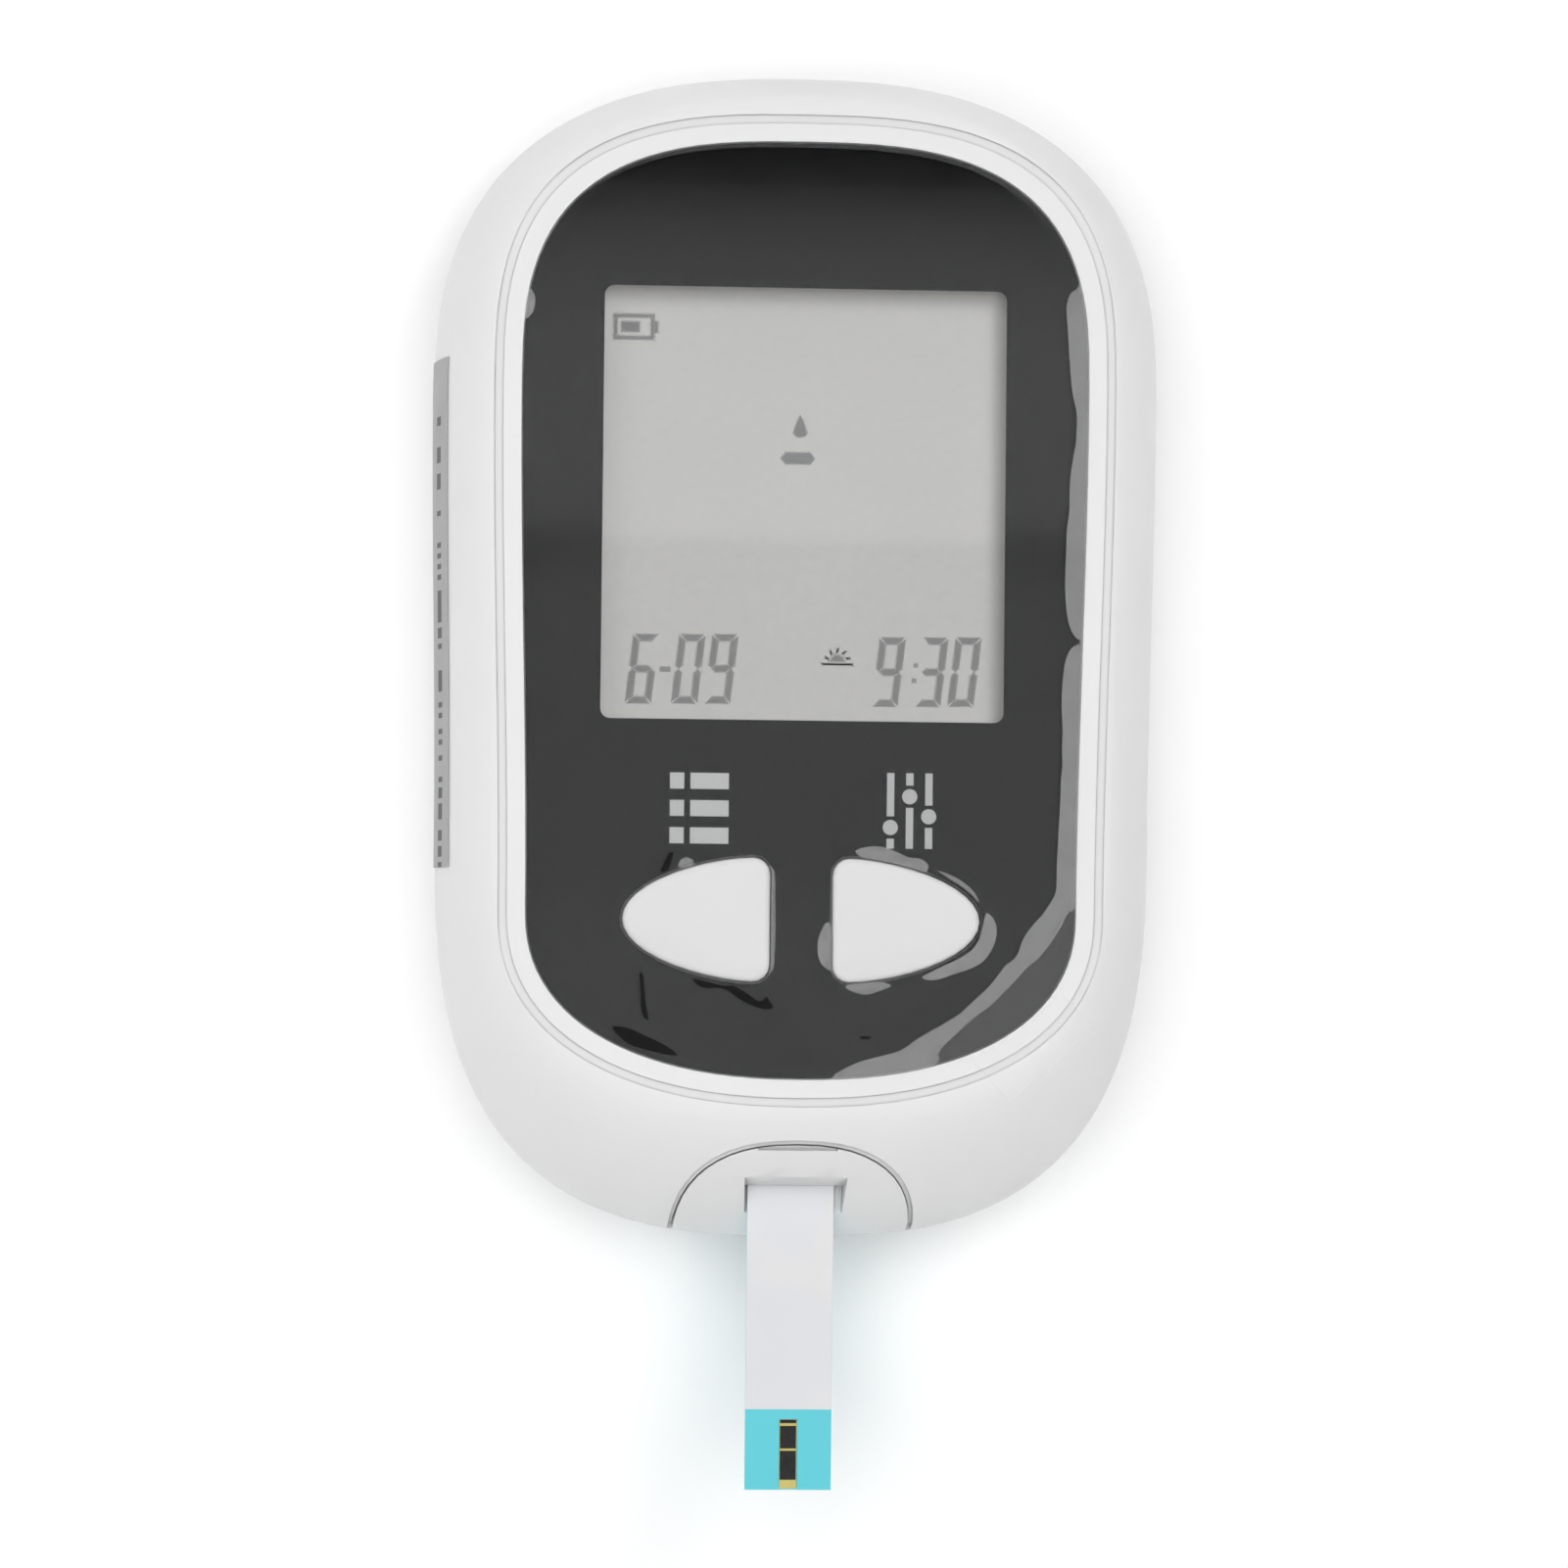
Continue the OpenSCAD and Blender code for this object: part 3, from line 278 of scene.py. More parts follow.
# ---- Finishes of the meter's own parts ----

def shell_finish():
    """White satin shell with rounded cut edges, and painted shade that makes it a little darker
    down in its grooves.
    """
    material, tree, shader = start_material("shell_plastic", Specular_IOR_Level=0.45)
    drift = use_group(tree, DRIFT, First=grey(224), Second=grey(221), Scale=35.0, Mottle=0.25)
    rub = use_group(tree, RUB, Low=0.38, High=0.5, Scale=70.0)
    where = place(tree, "TexCoord")
    texture = place(tree, "TexNoise", Scale=2600.0, Detail=3.0)
    rounding = place(tree, "Bevel", samples=4, Radius=0.00014)
    bump = place(tree, "Bump", Distance=0.00003, Strength=0.12)
    # Painted shade: the colour is darkened where the shell's own surface closes in round a point,
    # as in its grooves
    crevice = place(tree, "AmbientOcclusion", samples=6, only_local=True, Distance=0.0012)
    painted_groove_shade = graded(tree, crevice.outputs["AO"], 0.5, 0.98, 0.72, 1.0)
    colour = mixed(tree, 1.0, drift.outputs["Color"], painted_groove_shade, blend_type="MULTIPLY")
    tree.links.new(where.outputs["Object"], texture.inputs["Vector"])
    tree.links.new(texture.outputs["Fac"], bump.inputs["Height"])
    tree.links.new(rounding.outputs["Normal"], bump.inputs["Normal"])
    tree.links.new(colour, shader.inputs["Base Color"])
    tree.links.new(rub.outputs["Roughness"], shader.inputs["Roughness"])
    tree.links.new(bump.outputs["Normal"], shader.inputs["Normal"])
    return material


def clear_panel_finish():
    """Clear polished sheet that lets the lamps reach the display behind it."""
    material, tree, shader = start_material(
        "clear_plastic", Roughness=0.0, Transmission_Weight=1.0, IOR=1.08)
    drift = use_group(tree, DRIFT, First=(0.995, 1, 1, 1), Second=(0.985, 0.992, 0.995, 1),
                      Scale=120.0, Mottle=0.3)
    path = place(tree, "LightPath")
    open_way = place(tree, "BsdfTransparent", Color=(0.99, 0.995, 0.995, 1))
    surface = mixed_shaders(tree, path.outputs["Is Shadow Ray"], shader.outputs["BSDF"],
                            open_way.outputs["BSDF"])
    tree.links.new(drift.outputs["Color"], shader.inputs["Base Color"])
    tree.links.new(surface, tree.nodes["Material Output"].inputs["Surface"])
    return material


def film_finish():
    """Thin film: clear where it sticks, with a painted pale veil where it has come loose and
    painted shade in its creases.
    """
    material, tree, shader = start_material("film_plastic", Roughness=0.25)
    painted_veil, tone, shine = (place(tree, "Attribute", attribute_name=name).outputs["Fac"]
                         for name in ("painted_veil", "tone", "shine"))
    open_way = place(tree, "BsdfTransparent")
    mirror = place(tree, "BsdfGlossy", Roughness=0.06)
    edge_on = place(tree, "Fresnel", IOR=1.45)
    mottle = use_group(tree, DRIFT, First=(0.9, 0.9, 0.9, 1), Second=(1.1, 1.1, 1.1, 1),
                       Scale=500.0, Mottle=0.5)
    # Painted veil: a pale or dark diffuse layer that the attribute mixes over the clear film
    veil = math_of(tree, "MULTIPLY", mottle.outputs["Color"], painted_veil)
    share = math_of(tree, "MULTIPLY", edge_on.outputs[0], shine)
    cloudy = mixed_shaders(tree, veil, open_way.outputs[0], shader.outputs["BSDF"])
    surface = mixed_shaders(tree, share, cloudy, mirror.outputs[0])
    tree.links.new(tone, shader.inputs["Base Color"])
    tree.links.new(math_of(tree, "MULTIPLY", tone, 0.5), shader.inputs["Specular IOR Level"])
    tree.links.new(surface, tree.nodes["Material Output"].inputs["Surface"])
    return material


def mark_finish(name, ink):
    """Display marks: solid in the middle, soft at the rim, as seen through the glass."""
    material, tree, shader = start_material(name, Roughness=0.5)
    drift = use_group(tree, DRIFT, First=grey(ink), Second=grey(ink - 6), Scale=400.0, Mottle=0.5)
    cover = place(tree, "Attribute", attribute_name="ink")
    tree.links.new(drift.outputs["Color"], shader.inputs["Base Color"])
    tree.links.new(cover.outputs["Fac"], shader.inputs["Alpha"])
    return material


# Upper and right edge of the display's window, along which a shadow of the panel is painted, and
# the height below which painted shade makes it duller, in mm
WINDOW_TOP, WINDOW_RIGHT, PAINTED_SHADE_BELOW = 29.2, 16.3, 10.0


def display_finish():
    """Pale display glass with a painted shadow of the panel above and at the right, painted shade
    that makes it a little duller below, and a painted glow.
    """
    # Painted light: the display is no lamp, yet it glows a little, to make up for light lost
    # behind the clear panel
    material, tree, shader = start_material("lcd_glass", Roughness=0.2, Emission_Strength=0.11)
    drift = use_group(tree, DRIFT, First=tint(250, 248, 245), Second=tint(244, 242, 239),
                      Scale=90.0, Mottle=0.55)
    x, y, _ = position(tree)
    # Painted shadow of the panel along the upper and right edges, and painted shade over the lower
    # part, multiplied into the colour and so into the glow
    shade = 1.0
    for value, start, end, darkest in ((y, WINDOW_TOP, WINDOW_TOP - 2.2, 0.92),
                                       (x, WINDOW_RIGHT, WINDOW_RIGHT - 1.3, 0.75),
                                       (y, PAINTED_SHADE_BELOW - 2.0, PAINTED_SHADE_BELOW, 0.92)):
        ramp = graded(tree, value, start * MM, end * MM, darkest, 1.0, kind="SMOOTHSTEP")
        shade = math_of(tree, "MULTIPLY", shade, ramp)
    colour = mixed(tree, 1.0, drift.outputs["Color"], shade, blend_type="MULTIPLY")
    tree.links.new(colour, shader.inputs["Base Color"])
    tree.links.new(colour, shader.inputs["Emission Color"])
    return material


def label_finish():
    """Grey label with one line of plain bars."""
    rows_per_metre, blank_share = 2300.0, 0.48
    line_height, half_bar, top_end = 0.0136, 0.0007, 0.0190
    material, tree, shader = start_material("label_paper", Roughness=0.6)
    _, y, z = position(tree)
    chance = place(tree, "TexWhiteNoise", noise_dimensions="1D")
    row = math_of(tree, "FLOOR", math_of(tree, "MULTIPLY", y, rows_per_metre))
    tree.links.new(row, chance.inputs["W"])
    inked = math_of(tree, "GREATER_THAN", chance.outputs["Value"], blank_share)
    in_line = math_of(tree, "COMPARE", z, line_height, half_bar)
    below_end = math_of(tree, "LESS_THAN", y, top_end)
    printed = math_of(tree, "MULTIPLY", math_of(tree, "MULTIPLY", inked, in_line), below_end)
    paper = use_group(tree, DRIFT, First=grey(170), Second=grey(160), Scale=300.0, Mottle=0.5)
    colour = mixed(tree, printed, paper.outputs["Color"], grey(85))
    tree.links.new(colour, shader.inputs["Base Color"])
    return material


def board_finish():
    """Green solder mask with a pattern of copper tracks under it."""
    material, tree, shader = start_material("board_laminate", Coat_Weight=0.3)
    where = place(tree, "TexCoord")
    grid = place(tree, "TexBrick", Scale=1.0, Mortar_Size=0.0004, Brick_Width=0.006,
                 Row_Height=0.0016, Color1=(0.010, 0.105, 0.040, 1),
                 Color2=(0.013, 0.125, 0.050, 1), Mortar=(0.030, 0.210, 0.085, 1))
    rub = use_group(tree, RUB, Low=0.3, High=0.45, Scale=150.0)
    texture = use_group(tree, GRAIN, Scale=2500.0, Strength=0.15)
    tree.links.new(where.outputs["Object"], grid.inputs["Vector"])
    tree.links.new(grid.outputs["Color"], shader.inputs["Base Color"])
    tree.links.new(rub.outputs["Roughness"], shader.inputs["Roughness"])
    tree.links.new(texture.outputs["Normal"], shader.inputs["Normal"])
    return material


def zebra_finish():
    """Striped elastomer that carries the display's signals."""
    material, tree, shader = start_material("elastomer", Roughness=0.6)
    where = place(tree, "TexCoord")
    stripes = place(tree, "TexWave", Scale=900.0, Distortion=0.2)
    colour = mixed(tree, stripes.outputs["Fac"], (0.62, 0.20, 0.27, 1), (0.05, 0.03, 0.035, 1))
    tree.links.new(where.outputs["Object"], stripes.inputs["Vector"])
    tree.links.new(colour, shader.inputs["Base Color"])
    return material


def pearl_finish():
    """Pearly cover sheet of the strip, with faint warm and cool patches."""
    material, tree, shader = start_material("strip_pearl", Coat_Weight=0.25)
    cool = use_group(tree, DRIFT, First=tint(214, 216, 221), Second=tint(211, 212, 216),
                     Scale=120.0, Mottle=0.1)
    patches = use_group(tree, DRIFT, First=(0, 0, 0, 1), Second=(1, 1, 1, 1), Scale=75.0,
                        Mottle=0.05)
    warm_share = graded(tree, patches.outputs["Mask"], 0.45, 0.95, 0.0, 0.9)
    colour = mixed(tree, warm_share, cool.outputs["Color"], tint(223, 219, 215))
    rub = use_group(tree, RUB, Low=0.3, High=0.42, Scale=200.0)
    tree.links.new(colour, shader.inputs["Base Color"])
    tree.links.new(rub.outputs["Roughness"], shader.inputs["Roughness"])
    return material


finishes = {
    "shell_plastic": shell_finish(),
    "button_plastic": moulded("button_plastic", grey(213), grey(210), 0.34, 0.44, strength=0.05),
    "clear_plastic": clear_panel_finish(),
    "panel_print": moulded("panel_print", grey(31), grey(29), 0.05, 0.07, scale=200.0, grain=60.0,
                           strength=0.35, IOR=1.46),
    "film_plastic": film_finish(),
    "label_paper": label_finish(),
    "lcd_glass": display_finish(),
    "reflector_sheet": moulded("reflector_sheet", grey(190), grey(180), 0.4, 0.5),
    "frame_plastic": moulded("frame_plastic", grey(214), grey(206), 0.45, 0.55),
    "foam": moulded("foam", grey(45), grey(28), 0.85, 0.95, grain=5000.0, strength=0.6),
    "elastomer": zebra_finish(),
    "board_laminate": board_finish(),
    "chip_plastic": moulded("chip_plastic", grey(42), grey(34), 0.5, 0.65, grain=6000.0,
                            strength=0.35),
    "steel": metal("steel", (0.63, 0.62, 0.60, 1), (0.52, 0.51, 0.50, 1), 0.22, 0.38,
                   (900.0, 900.0, 9000.0)),
    "ceramic_chip": moulded("ceramic_chip", (0.45, 0.33, 0.2, 1), (0.36, 0.25, 0.15, 1), 0.5, 0.6,
                            scale=500.0),
    "gold_contact": metal("gold_contact", tint(222, 208, 126), tint(206, 190, 104), 0.3, 0.42,
                          (700.0, 5000.0, 700.0), strength=0.06, metallic=0.3),
    "connector_plastic": moulded("connector_plastic", (0.72, 0.68, 0.56, 1), (0.66, 0.62, 0.5, 1),
                                 0.4, 0.55),
    "cell_sleeve": metal("cell_sleeve", (0.30, 0.32, 0.35, 1), (0.22, 0.24, 0.27, 1), 0.3, 0.45,
                         (300.0, 300.0, 4000.0)),
    "strip_teal": moulded("strip_teal", tint(80, 204, 216), tint(76, 199, 212), 0.3, 0.4,
                          scale=160.0),
    "reagent_print": moulded("reagent_print", grey(52), grey(30), 0.55, 0.8, scale=900.0,
                             mottle=0.7, grain=7000.0, strength=0.7),
    "strip_pearl": pearl_finish(),
}


# ---- Smooth shading of the CAD nodes ----

SHARP_ANGLE = 32
SAME_POINT = 0.000002


def shade_smooth(piece):
    """Shades curved faces as one surface and keeps edges that are sharper than SHARP_ANGLE."""
    stored = piece.data.attributes.get("custom_normal")
    if stored:
        piece.data.attributes.remove(stored)
    piece.data.polygons.foreach_set("use_smooth", [True] * len(piece.data.polygons))
    weld = piece.modifiers.new("join facets", "WELD")
    weld.merge_threshold = SAME_POINT
    split = piece.modifiers.new("keep edges", "EDGE_SPLIT")
    split.split_angle = math.radians(SHARP_ANGLE)
    piece.modifiers.new("even normals", "WEIGHTED_NORMAL")


for part in frame["record"]["subparts"]:
    piece = nodes[part["node"]]
    shade_smooth(piece)
    piece.material_slots[0].material = finishes[part["material_slot"]]


# ---- Mesh parts ----

def make_piece(name, verts, faces, material, body, smooth=False):
    """A mesh from points in millimetres, riding on a body."""
    mesh = bpy.data.meshes.new(name)
    mesh.from_pydata([[c * MM for c in v] for v in verts], [], faces)
    mesh.polygons.foreach_set("use_smooth", [smooth] * len(mesh.polygons))
    mesh.materials.append(material)
    made = bpy.data.objects.new(name, mesh)
    bpy.context.scene.collection.objects.link(made)
    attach(made, body)
    return made


# Step in height between neighbouring marks, in mm, so that rims which cross aren't in one plane
MARK_STEP = 0.004


def soft_shapes(outlines, z, rim):
    """Flat convex shapes whose ink fades over a rim. Returns points, faces and ink per point."""
    verts, faces, ink = [], [], []
    for count, outline in enumerate(outlines):
        lift = MARK_STEP * (count % 4)
        cx = sum(p[0] for p in outline) / len(outline)
        cy = sum(p[1] for p in outline) / len(outline)
        base, n = len(verts), len(outline)
        for grow, amount in ((-rim / 2, 1.0), (rim / 2, 0.0)):
            for i, (x, y) in enumerate(outline):
                before, after = outline[i - 1], outline[(i + 1) % n]
                push = outward(before, (x, y), after)
                side = 1 if push[0] * (x - cx) + push[1] * (y - cy) > 0 else -1
                verts.append((x + push[0] * grow * side, y + push[1] * grow * side, z + lift))
                ink.append(amount)
        faces.append([base + i for i in range(n)])
        for i in range(n):
            j = (i + 1) % n
            faces.append([base + i, base + j, base + n + j, base + n + i])
    return verts, faces, ink


def outward(before, here, after):
    """Direction that splits the corner at a point, long enough to move both sides by 1."""
    a = Vector(here) - Vector(before)
    b = Vector(after) - Vector(here)
    normal_a = Vector((a.y, -a.x)).normalized()
    normal_b = Vector((b.y, -b.x)).normalized()
    middle = normal_a + normal_b
    if middle.length < 0.2:
        return normal_a
    middle.normalize()
    longest = 1.6
    return middle * min(1 / max(middle.dot(normal_a), 0.5), longest)


# ---- Display ----

# Segments of a digit that each sign lights, named a to g as usual
LIT = {"0": "abcdef", "3": "abcdg", "6": "acdefg", "9": "abcdfg", "-": "g"}
DISPLAY_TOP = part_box("lcd_glass")[1].z / MM
# How far a print lies above the face that it is on, in mm
PRINT_LIFT = 0.012


def digit(sign, x, y, wide=2.1, high=5.62, stroke=0.56, lean=0.11):
    """Seven-segment digit with mitred bars, leaning to the right; x, y is its lower left."""
    # Width of the slits between bars, and how much of their outer corners is cut off
    gap, nose = 0.04, 0.09
    half, mid = stroke / 2, high / 2
    bars = {
        "a": [(nose + gap, high), (wide - nose - gap, high), (wide - stroke - gap, high - stroke),
              (stroke + gap, high - stroke)],
        "d": [(nose + gap, 0), (stroke + gap, stroke), (wide - stroke - gap, stroke),
              (wide - nose - gap, 0)],
        "g": [(half + gap, mid), (stroke + gap, mid + half), (wide - stroke - gap, mid + half),
              (wide - half - gap, mid), (wide - stroke - gap, mid - half),
              (stroke + gap, mid - half)],
        "f": [(0, high - nose - gap), (stroke, high - stroke - gap), (stroke, mid + half + gap),
              (half, mid + gap), (0, mid + half)],
        "e": [(0, nose + gap), (0, mid - half), (half, mid - gap), (stroke, mid - half - gap),
              (stroke, stroke + gap)],
    }
    for left, right in (("f", "b"), ("e", "c")):
        bars[right] = [(wide - px, py) for px, py in reversed(bars[left])]
    return [[(x + px + lean * py, y + py) for px, py in bars[name]] for name in LIT[sign]]


def drop(x, y, high):
    """Blood drop: round below, pointed above."""
    r = high * 0.34
    round_part = [(x + r * math.cos(a), y + r + r * math.sin(a))
                  for a in (math.radians(200 + 14 * i) for i in range(11))]
    shoulder = y + high * 0.74
    return [round_part + [(x + r * 0.42, shoulder), (x, y + high), (x - r * 0.42, shoulder)]]


def bar(x0, x1, y0, y1):
    """Rectangle between two places on X and two on Y."""
    return [(x0, y0), (x1, y0), (x1, y1), (x0, y1)]


def battery_sign(x, y):
    """Outline of a cell with its nub and its charge inside."""
    wide, high, line, nub, charge = 3.3, 2.1, 0.3, 0.3, 1.5
    return [bar(x, x + wide, y, y + line), bar(x, x + wide, y + high - line, y + high),
            bar(x, x + line, y + line, y + high - line),
            bar(x + wide - line, x + wide, y + line, y + high - line),
            bar(x + wide, x + wide + nub, y + 0.6, y + high - 0.6),
            bar(x + 0.6, x + 0.6 + charge, y + 0.62, y + high - 0.62)]


def morning_sign(x, y):
    """Half sun with five rays over a line."""
    shapes = [bar(x - 1.3, x + 1.3, y, y + 0.18),
              [(x + 0.55 * math.cos(a), y + 0.3 + 0.55 * math.sin(a))
               for a in (math.radians(22.5 * i) for i in range(9))]]
    for turn in (18, 54, 90, 126, 162):
        c, s = math.cos(math.radians(turn)), math.sin(math.radians(turn))
        shapes.append([(x + c * r - s * w, y + 0.3 + s * r + c * w)
                       for r, w in ((0.72, -0.07), (1.08, -0.07), (1.08, 0.07), (0.72, 0.07))])
    return shapes


def display_marks():
    """Date, time and signs of the display, and its drop over a strip's slot."""
    figures = (digit("6", -14.25, -4.5) + digit("0", -10.52, -4.46) + digit("9", -7.85, -4.42)
               + digit("9", 5.75, -4.5) + digit("3", 9.22, -4.46) + digit("0", 11.92, -4.42))
    dots = [bar(-11.45, -10.63, -1.9, -1.51), bar(9.16, 9.44, -1.26, -0.98),
            bar(9.03, 9.31, -2.5, -2.22)]
    signs = battery_sign(-15.5, 25.0) + morning_sign(2.93, -1.2)
    slot_sign = [(-1.85, 15.57), (-1.45, 16.06), (0.55, 16.06), (0.95, 15.57), (0.55, 15.08),
                 (-1.45, 15.08)]
    groups = (("digits_on_display", figures + dots + signs, 190, 0.3),
              ("drop_and_strip_on_display", drop(-0.27, 17.25, 1.85) + [slot_sign], 198, 0.22))
    for name, outlines, ink, rim in groups:
        verts, faces, cover = soft_shapes(outlines, DISPLAY_TOP + PRINT_LIFT, rim)
        marks = make_piece(name, verts, faces, mark_finish(name + "_ink", ink), "housing")
        store = marks.data.attributes.new("ink", "FLOAT", "POINT")
        store.data.foreach_set("value", cover)


# ---- Symbols printed behind the panel ----

PRINT_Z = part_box("lens")[0].z / MM + PRINT_LIFT


def records_sign(x, y):
    """Three lines with a square before each: the stored readings."""
    high, pitch = 1.3, 2.2
    shapes = []
    for low in (y, y + pitch, y + 2 * pitch):
        shapes += [bar(x, x + 1.15, low, low + high), bar(x + 1.65, x + 4.75, low, low + high)]
    return shapes


def setting_sign(x, y):
    """Three upright sliders: the settings."""
    high, pitch, half_line, knob_radius, knob_gap = 6.1, 1.55, 0.3, 0.62, 0.9
    shapes = []
    for i, knob in enumerate((1.7, 4.2, 2.6)):
        middle = x + pitch * i
        left, right = middle - half_line, middle + half_line
        shapes += [bar(left, right, y, y + knob - knob_gap),
                   bar(left, right, y + knob + knob_gap, y + high),
                   [(middle + knob_radius * math.cos(a), y + knob + knob_radius * math.sin(a))
                    for a in (math.radians(18 * k) for k in range(20))]]
    return shapes


def panel_symbols():
    """The two pale symbols over the buttons, on the panel's back, with a painted glow."""
    for name, outlines, ink in (("records_symbol", records_sign(-10.62, -15.82), 248),
                                ("setting_symbol", setting_sign(7.2, -16.04), 238)):
        verts, faces = [], []
        for outline in outlines:
            faces.append(list(range(len(verts), len(verts) + len(outline))))
            verts += [(x, y, PRINT_Z) for x, y in outline]
        # Painted light: the printed symbols glow a little, to make up for light lost behind the
        # clear panel
        glowing_ink_finish = moulded(name + "_ink", grey(ink), grey(ink - 4), 0.5, 0.6, scale=300.0,
                             Emission_Color=grey(ink), Emission_Strength=0.115)
        make_piece(name, verts, faces, glowing_ink_finish, "housing")


# ---- Protective film ----

# Places where the film has come loose, as outlines over the panel. The last number is the share of
# a painted pale veil over it, which stands in for the light that the air under the loose film
# reflects.
LOOSE = [
    ([(23.6, 29.4), (21.69, 29.25), (21.24, 28.84), (21.03, 28.04), (21.04, 27.11),
      (21.18, 25.51), (21.28, 23.65), (21.43, 22.05), (21.57, 20.86), (21.79, 19.93),
      (21.93, 19.27), (21.91, 18.07), (21.87, 16.87), (21.69, 15.94), (21.49, 14.6),
      (21.37, 13.01), (21.38, 11.41), (21.2, 10.08), (21.14, 7.96), (21.08, 5.83), (21.08, 5.17),
      (21.15, 3.84), (21.29, 2.78), (21.48, 1.99), (21.81, 1.33),
      (22.3, 0.94), (23.6, 0.9)], 0.19),
    ([(23.6, 0.7), (22.27, 0.67), (21.76, 0.4), (21.37, -0.14), (21.11, -0.94), (20.98, -2),
      (20.89, -3.33), (20.87, -4.65), (20.97, -6.24), (20.93, -8.09), (20.99, -9.15),
      (20.87, -10.48), (20.83, -12.07), (20.74, -13.92), (20.65, -16.04), (20.58, -17.63),
      (20.59, -18.95), (20.44, -19.67), (19.94, -20.55), (19.43, -21.28), (18.7, -22.09),
      (17.98, -23.12), (17.69, -23.78), (17.62, -24.15), (17.19, -24.88), (16.53, -25.32),
      (16.03, -25.98), (15.37, -26.86), (14.58, -27.67), (13.71, -28.48), (12.84, -29.29),
      (11.82, -29.96), (10.8, -30.55), (9.78, -31.14), (8.91, -31.73), (8.19, -32.24),
      (7.31, -32.54), (6.15, -32.85), (4.84, -33.22), (3.82, -33.67), (3.1, -34.08), (2.6, -34.5),
      (2.6, -35.4), (11.5, -34.8), (11.26, -32.87), (11.11, -32.65), (11.33, -32.14),
      (12.12, -31.34), (13.14, -30.38), (14.15, -29.5), (15.32, -28.61), (16.48, -27.44),
      (17.49, -26.41), (18.22, -25.52), (19.09, -24.86), (19.82, -23.98), (20.47, -23.02),
      (20.98, -22.22), (21.29, -21.56), (21.56, -21.11), (21.9, -20.9), (23.6, -20.8)], 0.19),
    ([(11.5, -34.8), (11.26, -32.87), (11.11, -32.65), (11.33, -32.14), (12.12, -31.34),
      (13.14, -30.38), (14.15, -29.5), (15.32, -28.61), (16.48, -27.44), (17.49, -26.41),
      (18.22, -25.52), (19.09, -24.86), (19.82, -23.98), (20.47, -23.02), (20.98, -22.22),
      (21.29, -21.56), (21.56, -21.11), (21.9, -20.9), (23.6, -20.8), (23.6, -34.8)], 0.035),
    ([(2.22, -22.08), (1.74, -22.5), (1.46, -23.15), (1.31, -23.96), (1.4, -24.83), (1.7, -25.48),
      (2.14, -25.84), (2.6, -26.05), (3.4, -24.23)], 0.2),
    ([(4.27, -16.36), (4.82, -16.06), (5.69, -15.9), (6.72, -15.99), (7.6, -16.32), (8.19, -16.6),
      (8.77, -16.81), (9.65, -16.87), (10.24, -17.52), (9.66, -18.2), (7.46, -17.8), (6.0, -17.3),
      (4.97, -16.9)], 0.19),
    ([(10.98, -17.81), (12.0, -18.13), (13.03, -18.7), (13.77, -19.33), (14.25, -20),
      (14.29, -20.32), (13.78, -19.77), (12.89, -19.05), (11.86, -18.42)], 0.16),
    ([(14.93, -21.11), (15.4, -21.47), (15.74, -22.2), (15.71, -23.22), (15.35, -24.17),
      (14.63, -25.12), (13.68, -25.64), (12.66, -26.02), (11.79, -26.32), (10.91, -26.59),
      (10.03, -26.57), (9.74, -26.37), (11.2, -25.6), (12.65, -24.9), (13.74, -24.2),
      (14.3, -23.4), (14.6, -22.4)], 0.2),
    ([(3.61, -27.2), (4.49, -27.7), (5.22, -27.84), (6.1, -27.61),
      (7.26, -27.05), (5.36, -26.7)], 0.19),
    ([(-9.96, -17.61), (-9.71, -17.13), (-9.25, -16.95), (-8.73, -17.18), (-8.6, -17.7),
      (-9.3, -18.1)], 0.18),
    ([(-22.9, 28.8), (-22.2, 28.49), (-21.96, 28.05), (-21.93, 27.38), (-22.1, 26.72),
      (-22.44, 26.3), (-23.1, 26.2)], 0.21),
    ([(-2.6, -17.5), (-2.2, -17.9), (-2.1, -20.0), (-2.08, -23.5),
      (-2.2, -25.9), (-2.6, -26.3)], 0.17),
]
# Width of the slots round the panel and round the buttons
LENS_FIT = 0.12
BUTTON_FIT = 0.2
# How far the film rises where it is loose, the height of its slow waves, and the pale tone of its
# painted veil
LOOSE_RISE = 0.16
WAVES = 0.03
CLEAR_TONE = 0.93
# The film's hole round a button, and where they differ its shine, its tone and its painted veil:
# pale where the film spans air at the rim, the slots and the tab, and dark in the creases
HOLE_FIT = 0.06
RIM_PAINTED_VEIL, SLOT_PAINTED_VEIL, CREASE_PAINTED_VEIL, TAB_PAINTED_VEIL = 0.03, 0.02, 0.8, 0.1
LOOSE_SHINE, TAB_SHINE, CREASE_PAINTED_SHADE = 0.5, 0.12, 0.012
